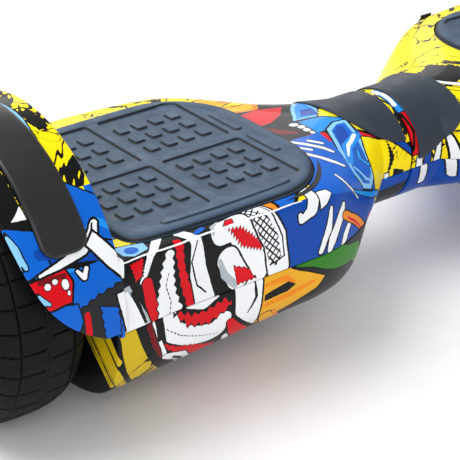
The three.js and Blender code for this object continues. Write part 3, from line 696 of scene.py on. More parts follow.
def pad_relief(x, y):
    """Height of the pad's top above its smooth level, on the right half: four sunk panels with
    rows of cleats in them, and raised bars along the front and the neck end."""
    relief = np.zeros_like(x)
    for x0, x1 in PANEL_SPANS_X:
        for y0, y1 in PANEL_SPANS_Y:
            panel = rounded_box(x, y, (x0 + x1) / 2, (y0 + y1) / 2, (x1 - x0) / 2, (y1 - y0) / 2, 2.0)
            relief -= PANEL_DEPTH * soft_step(panel, WALL_RUN)
    for first in CLEAT_FIRST_COLUMNS:
        for column in range(4):
            for row in CLEAT_ROWS:
                cx = first + CLEAT_PITCH * column + CLEAT_LEAN * (row - CLEAT_ROWS[0])
                cleat = rounded_box(x, y, cx, row, 3.8, 4.6, 1.6)
                relief += CLEAT_HEIGHT * soft_step(cleat, WALL_RUN)
    bars = ((173, -71.5, 44, 2.4), (108.5, 17.5, 2.6, 14.5), (108.5, -20.5, 2.6, 14.5))
    for cx, cy, half_x, half_y in bars:
        bend = 0.0009 * (x - cx) ** 2 * np.sign(cy) if half_x > half_y else 0
        bar = rounded_box(x, y + bend, cx, cy, half_x, half_y, 2.3)
        relief += 0.9 * soft_step(bar, 1.5)
    return relief


def edge_distance(points, outline):
    """How far each of many points lies from a closed outline, worked out a few thousand at a time."""
    distance = np.empty(len(points))
    along = np.roll(outline, -1, 0) - outline
    squared = np.maximum((along ** 2).sum(1), 1e-9)
    for start in range(0, len(points), 4000):
        part = points[start:start + 4000, None, :] - outline[None]
        t = np.clip((part * along[None]).sum(2) / squared[None], 0, 1)
        gap = part - t[..., None] * along[None]
        distance[start:start + 4000] = np.sqrt((gap ** 2).sum(2).min(1))
    return distance


def foot_pad(name):
    """The mat: a fine height field inside the pad's outline, closed below, with its two plungers."""
    outline = np.array(pad_outline(0, 40))
    half_side = outline[:len(outline) // 2]
    order = np.argsort(half_side[:, 0])
    xs_known, ys_known = half_side[order, 0], half_side[order, 1]
    turn = np.linspace(0, math.pi / 2, 9)
    skirt = SKIRT * (1 - np.cos(turn))
    columns = np.concatenate([PAD_INNER + skirt, np.arange(PAD_INNER + 5.5, PAD_OUTER - 5.3, 0.55),
                              (PAD_OUTER - skirt)[::-1]])
    shares = np.linspace(-1, 1, 281)
    near = 1 - SKIRT / 80 * (1 - np.cos(turn))
    shares = np.unique(np.concatenate([shares[np.abs(shares) < near[-1] - 0.002], near, -near]))
    reach = np.interp(columns, xs_known, ys_known)
    x = np.repeat(columns[:, None], len(shares), 1)
    front_stretch = np.where(shares < 0, PAD_HALF_WIDTH / PAD_REAR_REACH, 1.0)
    y = reach[:, None] * (shares * front_stretch)[None, :]
    distance = edge_distance(np.stack([x.ravel(), y.ravel()], 1), outline).reshape(x.shape)
    into = np.clip(1 - distance / SKIRT, 0, 1)
    drop = 2.5 * (1 - np.sqrt(np.maximum(0, 1 - into ** 2)))
    shallow = 0.35 * soft_step(9.5 - distance, 3.0)
    z = PAD_TOP - drop - shallow + pad_relief(x, y) * np.clip((distance - SKIRT) / 2, 0, 1)
    rows, cols = x.shape
    top = np.stack([x, y, z], -1).reshape(-1, 3)
    points = top.tolist()
    faces = []
    for r in range(rows - 1):
        base = r * cols
        faces.extend((base + c, base + cols + c, base + cols + c + 1, base + c + 1) for c in range(cols - 1))
    rim = [r * cols for r in range(rows)] + [(rows - 1) * cols + c for c in range(1, cols)]
    rim += [r * cols + cols - 1 for r in range(rows - 2, -1, -1)] + [c for c in range(cols - 2, 0, -1)]
    low = len(points)
    points += [(points[k][0], points[k][1], PAD_BOTTOM) for k in rim]
    count = len(rim)
    faces += [(rim[k], low + k, low + (k + 1) % count, rim[(k + 1) % count]) for k in range(count)]
    faces.append(tuple(low + k for k in range(count)))
    pad = build(name, points, faces)
    low, high = PAD_BOTTOM - 9, PAD_BOTTOM + 1
    profile = softened([(high, 0), (low, 0), (low, 4), (high, 4)], 0.8)
    for plunger_y in (-PLUNGER_Y, PLUNGER_Y):
        combine(pad, lathe("plunger", profile, 32, (PLUNGER_X, plunger_y, 0), "z"), "UNION")
    return pad


strip_right = bumper_strip("bumper_strip_right_band")
strip_left = mirrored(strip_right, "bumper_strip_left_band")
trim_right = neck_trim("neck_trim_right_inlay")
trim_left = mirrored(trim_right, "neck_trim_left_inlay", flip_y=True)
pad_right = foot_pad("foot_pad_right_mat")
pad_left = mirrored(pad_right, "foot_pad_left_mat")
for piece in (strip_right, strip_left, trim_right, trim_left, pad_right, pad_left):
    smooth(piece, 50)


# ---- wheels --------------------------------------------------------------------------------------

TYRE_SEGMENTS = 900
TYRE_RADIUS = 82.4
TREAD_HALF = 25.11
SHOULDER_DROP = 6.2
SIPES = 36
SPOKES = 5


def tyre(name):
    """A road tyre with a cut tread: two grooves round it, and sipes across the ribs and shoulders."""
    crown = np.linspace(-1, 1, 61)
    across = TREAD_HALF * np.sign(crown) * np.abs(crown) ** 0.94
    radius = TYRE_RADIUS - SHOULDER_DROP * np.abs(crown) ** 3.2
    side_x = np.array([26.2, 26.8, 27, 26.9, 26.2, 24.8, 24.2])
    side_r = np.array([74.5, 71.5, 68.5, 65.5, 63, 61, 60.2])
    profile_x = np.concatenate([-side_x[::-1], across, side_x])
    profile_r = np.concatenate([side_r[::-1], radius, side_r])
    inner_x, inner_r = np.linspace(24.2, -24.2, 9)[1:-1], np.full(7, 60.1)
    angle = np.arange(TYRE_SEGMENTS) / TYRE_SEGMENTS
    a, p = np.meshgrid(angle, profile_x, indexing="ij")
    depth = np.zeros_like(a)
    for groove in (-17, 15.5):
        depth += 1.6 * soft_step(np.abs(p - groove) - 0.6, 0.7)
    spacing = 2 * math.pi * AXLE_HEIGHT / SIPES

    def cuts(shift, slant, low, high, wide, deep):
        """Cuts across the tread from low to high, as wide and deep as given."""
        phase = (a * SIPES + shift + slant * p) % 1.0
        line = soft_step(np.minimum(phase, 1 - phase) * spacing - wide / 2, 0.7)
        band = soft_step(low - p, 0.8) * soft_step(p - high, 0.8)
        return deep * line * band

    depth += cuts(0.0, 0.0, -16, -2.5, 0.8, 1.3)
    depth += cuts(0.5, 0.0, 1.5, 14.5, 0.8, 1.3)
    depth += cuts(0.25, 0.012, 16.5, 26, 1.0, 1.4)
    depth += cuts(0.75, -0.012, -26, -18, 1.0, 1.4)
    depth += 0.5 * soft_step(np.abs(p) - 0.5, 0.7)
    outer_r = profile_r[None, :] - depth * (np.abs(p) < 26.1)
    r = np.concatenate([outer_r, np.repeat(inner_r[None, :], TYRE_SEGMENTS, 0)], 1)
    x = np.concatenate([p, np.repeat(inner_x[None, :], TYRE_SEGMENTS, 0)], 1) + WHEEL_INNER + TYRE_WIDTH / 2
    turn = angle[:, None] * 2 * math.pi
    points = np.stack([x, r * np.cos(turn), AXLE_HEIGHT + r * np.sin(turn)], -1).reshape(-1, 3)
    return build(name, points, ring_faces(TYRE_SEGMENTS, x.shape[1]))


def hub_cap(name):
    """A disc with five windows between its spokes."""
    w = WHEEL_INNER
    disc = softened([(w + 51.4, 0, 0), (w + 51.4, 51), (w + 53.0, 51), (w + 53.6, 48), (w + 53.6, 18),
                     (w + 53.2, 14), (w + 53.2, 0, 0)], 0.6)
    cap = lathe(name, disc, 150)
    span = 2 * math.pi / SPOKES
    rims = ((44.5, np.linspace(span * 0.17, span * 0.83, 24)), (20, np.linspace(span * 0.7, span * 0.3, 12)))
    outline = [(radius * math.cos(a), radius * math.sin(a)) for radius, turns in rims for a in turns]
    outline = softened_outline(outline, 2.6)
    for i in range(SPOKES):
        c, s = math.cos(span * i), math.sin(span * i)
        turned = [(c * u - s * v, AXLE_HEIGHT + s * u + c * v) for u, v in outline]
        combine(cap, prism("window", turned, w + 45, w + 60, "x", 0), "DIFFERENCE")
    return cap


def softened_outline(points, radius):
    """A closed outline with its sharp corners rounded and its arcs left alone."""
    rounded = []
    count = len(points)
    for k in range(count):
        here = np.array(points[k])
        before, after = np.array(points[k - 1]) - here, np.array(points[(k + 1) % count]) - here
        cosine = before @ after / (np.linalg.norm(before) * np.linalg.norm(after))
        if cosine < -0.8:
            rounded.append(tuple(here))
            continue
        start, end = (here + side / np.linalg.norm(side) * min(radius, np.linalg.norm(side) * 0.9)
                      for side in (before, after))
        for t in np.linspace(0, 1, 5):
            rounded.append(tuple((1 - t) ** 2 * start + 2 * t * (1 - t) * here + t * t * end))
    return rounded


def wheel_pieces():
    """The four lathed pieces of the right wheel."""
    w = WHEEL_INNER
    rim = lathe("rim_right_shell", softened([
        (w + 2, 57.2), (w + 2, RIM_RADIUS, 0.5), (w + 51, RIM_RADIUS, 0.5), (w + 51, 52, 1.5),
        (w + 47, 46, 3), (w + 49.6, 22, 2), (w + 49.6, 12), (w + 47.6, 12), (w + 47.6, 17.8),
        (w + 38, 17.8), (w + 38, 22), (w + 43, 26, 2), (w + 42, 57.2)], 0.4), 160)
    cover = lathe("motor_cover_right_plate", softened([
        (w + 1, 12), (w + 1, 24, 2), (w + 3, 30, 2), (w + 3, 56.9), (w + 8, 56.9), (w + 8, 22), (w + 16, 22),
        (w + 16, 17.8), (w + 5.5, 17.8), (w + 5.5, 12)], 0.4), 160)
    return {"tyre": tyre("tyre_right_tread"), "rim": rim, "motor_cover": cover,
            "hub_cap": hub_cap("hub_cap_right_star")}


wheels_right = wheel_pieces()
wheels_left = {kind: mirrored(piece, piece.name.replace("right", "left"))
               for kind, piece in wheels_right.items()}
for pieces in (wheels_right, wheels_left):
    for kind, piece in pieces.items():
        smooth(piece, 40 if kind == "tyre" else 32)


# ---- rear controls and screws --------------------------------------------------------------------

def rear_lathe(name, profile, x, segments=72):
    """A turned piece of the rear controls, with its axis front to back."""
    return lathe(name, profile, segments, (x, 0, PORT_Z), "y")


face = REAR_FACE
port = rear_lathe("charge_port_socket", softened([
    (face - 23, 0, 0), (face - 23, 9), (face + GAP, 9, 0.1), (face + GAP, 12, 0.3), (face + 1.4, 12, 0.7),
    (face + 1.4, 6.2, 0.5), (face - 14, 6.2), (face - 14, 0, 0)], 0.4), PORT_X)
for pin in (-2.4, 2.4):
    tip = softened([(face - 15, 0, 0), (face - 15, 1.1), (face - 6, 1.1, 0.6), (face - 6, 0, 0)], 0.3)
    combine(port, rear_lathe("pin", tip, PORT_X + pin, 20), "UNION")
cap_top = CAP_FACE + CAP_THICKNESS
cap = rear_lathe("charge_cap_lid", softened([
    (CAP_FACE - 2.5, 0, 0), (CAP_FACE - 2.5, 5.2, 0.8), (CAP_FACE, 5.2, 0.2), (CAP_FACE, 11, 0.3),
    (cap_top, 11, 0.8), (cap_top, 7.5, 0.6), (cap_top - 0.4, 6.9, 0.4), (cap_top - 0.4, 0, 0)], 0.4), PORT_X)
tab_outline = [(-5, 0), (5, 0), (5, 12.6), (3.6, 14.1), (-3.6, 14.1), (-5, 12.6)]
tab_placed = [(PORT_X + u, PORT_Z + v) for u, v in tab_outline]
combine(cap, prism("tab", tab_placed, CAP_FACE, cap_top - 0.5, "y", 0), "UNION")
bezel = rear_lathe("button_bezel_ring", softened([
    (face - 14, 0, 0), (face - 14, 9), (face + GAP, 9, 0.1), (face + GAP, 11.5, 0.3), (face + 2, 11.5, 0.9),
    (face + 2, 7.4, 0.7), (face - 12, 7.4), (face - 12, 0, 0)], 0.4), BUTTON_X)
button = rear_lathe("power_button_cap", softened([
    (face - 8, 0, 0), (face - 8, 7), (face + 3.2, 7, 1.0), (face + 3.2, 4.8, 0.6), (face + 2.6, 4.2, 0.5),
    (face + 2.6, 0, 0)], 0.4), BUTTON_X)
for piece in (port, cap, bezel, button):
    smooth(piece, 35)


def belly_screw(name, x, y):
    """A screw with a hexagon socket, its head under the belly."""
    top = SCREW_SEAT - GAP
    head = lathe(name, softened([
        (top - 3.2, 0, 0), (top - 3.2, 4.4, 0.9), (top, 4.4, 0.2), (top, 2.2, 0.1), (BOSS_TOP + 12, 2.2, 0.8),
        (BOSS_TOP + 12, 0, 0)], 0.3), 40, (x, y, 0), "z")
    combine(head, rod("socket", 2, SCREW_SEAT - 5, top - 1.6, (x, y, 0), "z", 6), "DIFFERENCE")
    set_slot(head, 0)
    smooth(head, 32)
    return head


screws = {}
for number, (sx, sy) in enumerate(SCREW_PLACES, 1):
    screws[number, "right"] = belly_screw(f"belly_screw_{number}_right_head", sx, sy)
    screws[number, "left"] = belly_screw(f"belly_screw_{number}_left_head", -sx, sy)


# ---- shader building -----------------------------------------------------------------------------

def linear(red, green, blue):
    """A screen colour from 0 to 255 as a linear one, with full alpha."""
    parts = [channel / 255 for channel in (red, green, blue)]
    return (*(((c + 0.055) / 1.055) ** 2.4 if c > 10 / 255 else c / 12.92 for c in parts), 1.0)


INK = linear(9, 10, 12)
WHITE = linear(242, 245, 248)
GREY = linear(176, 183, 190)
RED = linear(214, 0, 20)
DARK_RED = linear(118, 6, 18)
BLUE = linear(0, 98, 206)
DEEP_BLUE = linear(0, 70, 168)
SKY = linear(30, 144, 236)
PALE_BLUE = linear(136, 200, 246)
YELLOW = linear(255, 228, 0)
MUSTARD = linear(206, 176, 22)
ORANGE = linear(240, 138, 16)
AMBER = linear(236, 172, 34)
FLAME = linear(255, 186, 0)
GREEN = linear(48, 126, 30)
DARK_GREY = linear(34, 37, 40)


class Graph:
    """Adds nodes to a node tree, with plain values or other nodes' outputs as inputs."""

    def __init__(self, tree):
        self.tree = tree

    def feed(self, socket, value):
        if isinstance(value, bpy.types.NodeSocket):
            self.tree.links.new(value, socket)
        else:
            socket.default_value = value

    def feed_all(self, node, inputs):
        for key, value in inputs.items():
            self.feed(node.inputs[key], value)

    def node(self, kind, inputs=None, **settings):
        node = self.tree.nodes.new(kind)
        for key, value in settings.items():
            setattr(node, key, value)
        self.feed_all(node, inputs or {})
        return node

    def math(self, operation, *values, clamp=False):
        node = self.node("ShaderNodeMath", dict(enumerate(values)), operation=operation)
        node.use_clamp = clamp
        return node.outputs[0]

    def vector(self, operation, *values):
        node = self.node("ShaderNodeVectorMath", dict(enumerate(values)), operation=operation)
        scalar = operation in ("DOT_PRODUCT", "LENGTH", "DISTANCE")
        return node.outputs["Value" if scalar else "Vector"]

    def blend(self, factor, first, second):
        node = self.node("ShaderNodeMix", {0: factor, 6: first, 7: second}, data_type="RGBA")
        return node.outputs[2]

    def noise(self, place, scale, detail=2.0, roughness=0.5, dimensions="3D"):
        node = self.node("ShaderNodeTexNoise", {"Vector": place, "Scale": scale, "Detail": detail,
                                                "Roughness": roughness}, noise_dimensions=dimensions)
        return node.outputs

    def span(self, value, low, high, to_low=0.0, to_high=1.0):
        node = self.node("ShaderNodeMapRange", {0: value, 1: low, 2: high, 3: to_low, 4: to_high})
        return node.outputs[0]

    # signed distances in the print's own plane, where a place is (along, up, 1)

    def polygon(self, place, corners):
        corners = [np.array(c, float) for c in corners]
        centre = sum(corners) / len(corners)
        result = None
        for a, b in zip(corners, corners[1:] + corners[:1]):
            normal = np.array([b[1] - a[1], a[0] - b[0]])
            normal /= np.linalg.norm(normal)
            if normal @ (centre - a) > 0:
                normal = -normal
            side = self.vector("DOT_PRODUCT", place, (normal[0], normal[1], -float(normal @ a)))
            result = side if result is None else self.math("MAXIMUM", result, side)
        return result

    def stroke(self, place, points):
        """A brush stroke through (along, up, radius) points."""
        result = None
        for a, b in zip(points, points[1:]):
            run = np.array([b[0] - a[0], b[1] - a[1]], float)
            squared = float(run @ run)
            share = self.vector("DOT_PRODUCT", place, (run[0] / squared, run[1] / squared,
                                                       -float(run @ np.array(a[:2])) / squared))
            share = self.math("MULTIPLY", share, 1.0, clamp=True)
            step = self.node("ShaderNodeVectorMath", {0: (run[0], run[1], 0.0), 3: share}, operation="SCALE")
            nearest = self.vector("ADD", step.outputs[0], (a[0], a[1], 1.0))
            away = self.vector("DISTANCE", place, nearest)
            width = self.math("MULTIPLY_ADD", share, b[2] - a[2], a[2])
            capsule = self.math("SUBTRACT", away, width)
            result = capsule if result is None else self.math("MINIMUM", result, capsule)
        return result

    def oval(self, place, centre, half_along, half_up):
        scaled = self.vector("MULTIPLY_ADD", place, (1 / half_along, 1 / half_up, 0.0),
                             (-centre[0] / half_along, -centre[1] / half_up, 0.0))
        return self.math("MULTIPLY_ADD", self.vector("LENGTH", scaled), min(half_along, half_up),
                         -min(half_along, half_up))

    def zigzag(self, place, distance, direction, period, height):
        """Cuts a shape's edge into pointed steps along a direction."""
        along = self.vector("DOT_PRODUCT", place, (direction[0] / period, direction[1] / period, 0.0))
        wave = self.math("PINGPONG", along, 0.5)
        return self.math("MULTIPLY_ADD", wave, 2 * height, distance)

    def paint(self, base, distance, colour, outline=0.0):
        if outline:
            base = self.blend(self.math("LESS_THAN", distance, outline), base, INK)
        return self.blend(self.math("LESS_THAN", distance, 0.0), base, colour)

    def cracks(self, place, tilt, along, across, width, seed):
        """Broken dark lines that run at a tilt: negative inside a line."""
        c, s = math.cos(math.radians(tilt)), math.sin(math.radians(tilt))
        u = self.vector("DOT_PRODUCT", place, (c / along, s / along, seed))
        v = self.vector("DOT_PRODUCT", place, (-s / across, c / across, seed))
        where = self.node("ShaderNodeCombineXYZ", {0: u, 1: v}).outputs[0]
        fine = self.noise(where, 1.0, 3.0, 0.62, "2D")[0]
        ridge = self.math("ABSOLUTE", self.math("SUBTRACT", fine, 0.5))
        patch = self.noise(where, 0.37, 1.0, 0.5, "2D")[0]
        limit = self.span(patch, 0.47, 0.66, -0.004, width)
        return self.math("SUBTRACT", ridge, limit)


def film_group(name, draw):
    """A node group that turns the object's own coordinates into the printed colour."""
    tree = bpy.data.node_groups.new(name, "ShaderNodeTree")
    tree.interface.new_socket("Colour", in_out="OUTPUT", socket_type="NodeSocketColor")
    graph = Graph(tree)
    colour = draw(graph)
    out = tree.nodes.new("NodeGroupOutput")
    tree.links.new(colour, out.inputs[0])
    return tree


def millimetres(graph):
    """The object's own place in millimetres, and its three numbers."""
    place = graph.node("ShaderNodeTexCoord").outputs["Object"]
    scaled = graph.vector("MULTIPLY", place, (1000.0, 1000.0, 1000.0))
    parts = graph.node("ShaderNodeSeparateXYZ", {0: scaled}).outputs
    return scaled, parts[0], parts[1], parts[2]


def hand_drawn(graph, scaled, along, up, coarse=2.2, fine=0.5):
    """A place in the print, pushed about a little so that edges look drawn by hand."""
    wide = graph.vector("MULTIPLY_ADD", graph.noise(scaled, 0.045, 1.0)[1], (coarse * 2, coarse * 2, 0.0),
                        (-coarse, -coarse, 0.0))
    small = graph.vector("MULTIPLY_ADD", graph.noise(scaled, 0.35, 2.0)[1], (fine * 2, fine * 2, 0.0),
                         (-fine, -fine, 0.0))
    flat = graph.node("ShaderNodeCombineXYZ", {0: along, 1: up, 2: 1.0}).outputs[0]
    return graph.vector("ADD", flat, graph.vector("ADD", wide, small))


def body_place(graph, right, upper):
    """Place on the body's print: along the board, and up the front face, over the deck and down the
    back, or down the front face and under the belly. The right half is drawn mirrored."""
    scaled, x, y, z = millimetres(graph)
    along = graph.math("MULTIPLY", graph.math("ABSOLUTE", x), -1.0) if right else x
    side = graph.math("SIGN", y)
    if upper:
        up = graph.math("ADD", graph.math("MULTIPLY", side, graph.math("SUBTRACT", DECK_HEIGHT, z)),
                        graph.math("ADD", y, DECK_HEIGHT + REAR_FACE))
    else:
        up = graph.math("SUBTRACT", graph.math("MULTIPLY", graph.math("SUBTRACT", BELLY_HEIGHT, z), side),
                        graph.math("ADD", y, REAR_FACE - BELLY_HEIGHT))
    return hand_drawn(graph, scaled, along, up, 1.2, 0.35)


def cell_base(graph, place, colours, size):
    """A field of comic-style colour shapes with black outlines, for the parts of the print between
    the drawn shapes."""
    flat = graph.vector("MULTIPLY", place, (1 / size, 0.75 / size, 0.0))
    cell = graph.node("ShaderNodeTexVoronoi", {"Vector": flat, "Scale": 1.0, "Randomness": 1.0},
                      voronoi_dimensions="2D")
    edge = graph.node("ShaderNodeTexVoronoi", {"Vector": flat, "Scale": 1.0, "Randomness": 1.0},
                      voronoi_dimensions="2D", feature="DISTANCE_TO_EDGE")
    pick = graph.node("ShaderNodeSeparateColor", {0: cell.outputs["Color"]}).outputs[0]
    ramp = graph.node("ShaderNodeValToRGB", {0: pick})
    ramp.color_ramp.interpolation = "CONSTANT"
    stops = ramp.color_ramp.elements
    while len(stops) < len(colours):
        stops.new(1.0)
    for k, colour in enumerate(colours):
        stops[k].position = k / len(colours)
        stops[k].color = colour
    return graph.blend(graph.math("LESS_THAN", edge.outputs["Distance"], 1.1 / size), ramp.outputs[0], INK)
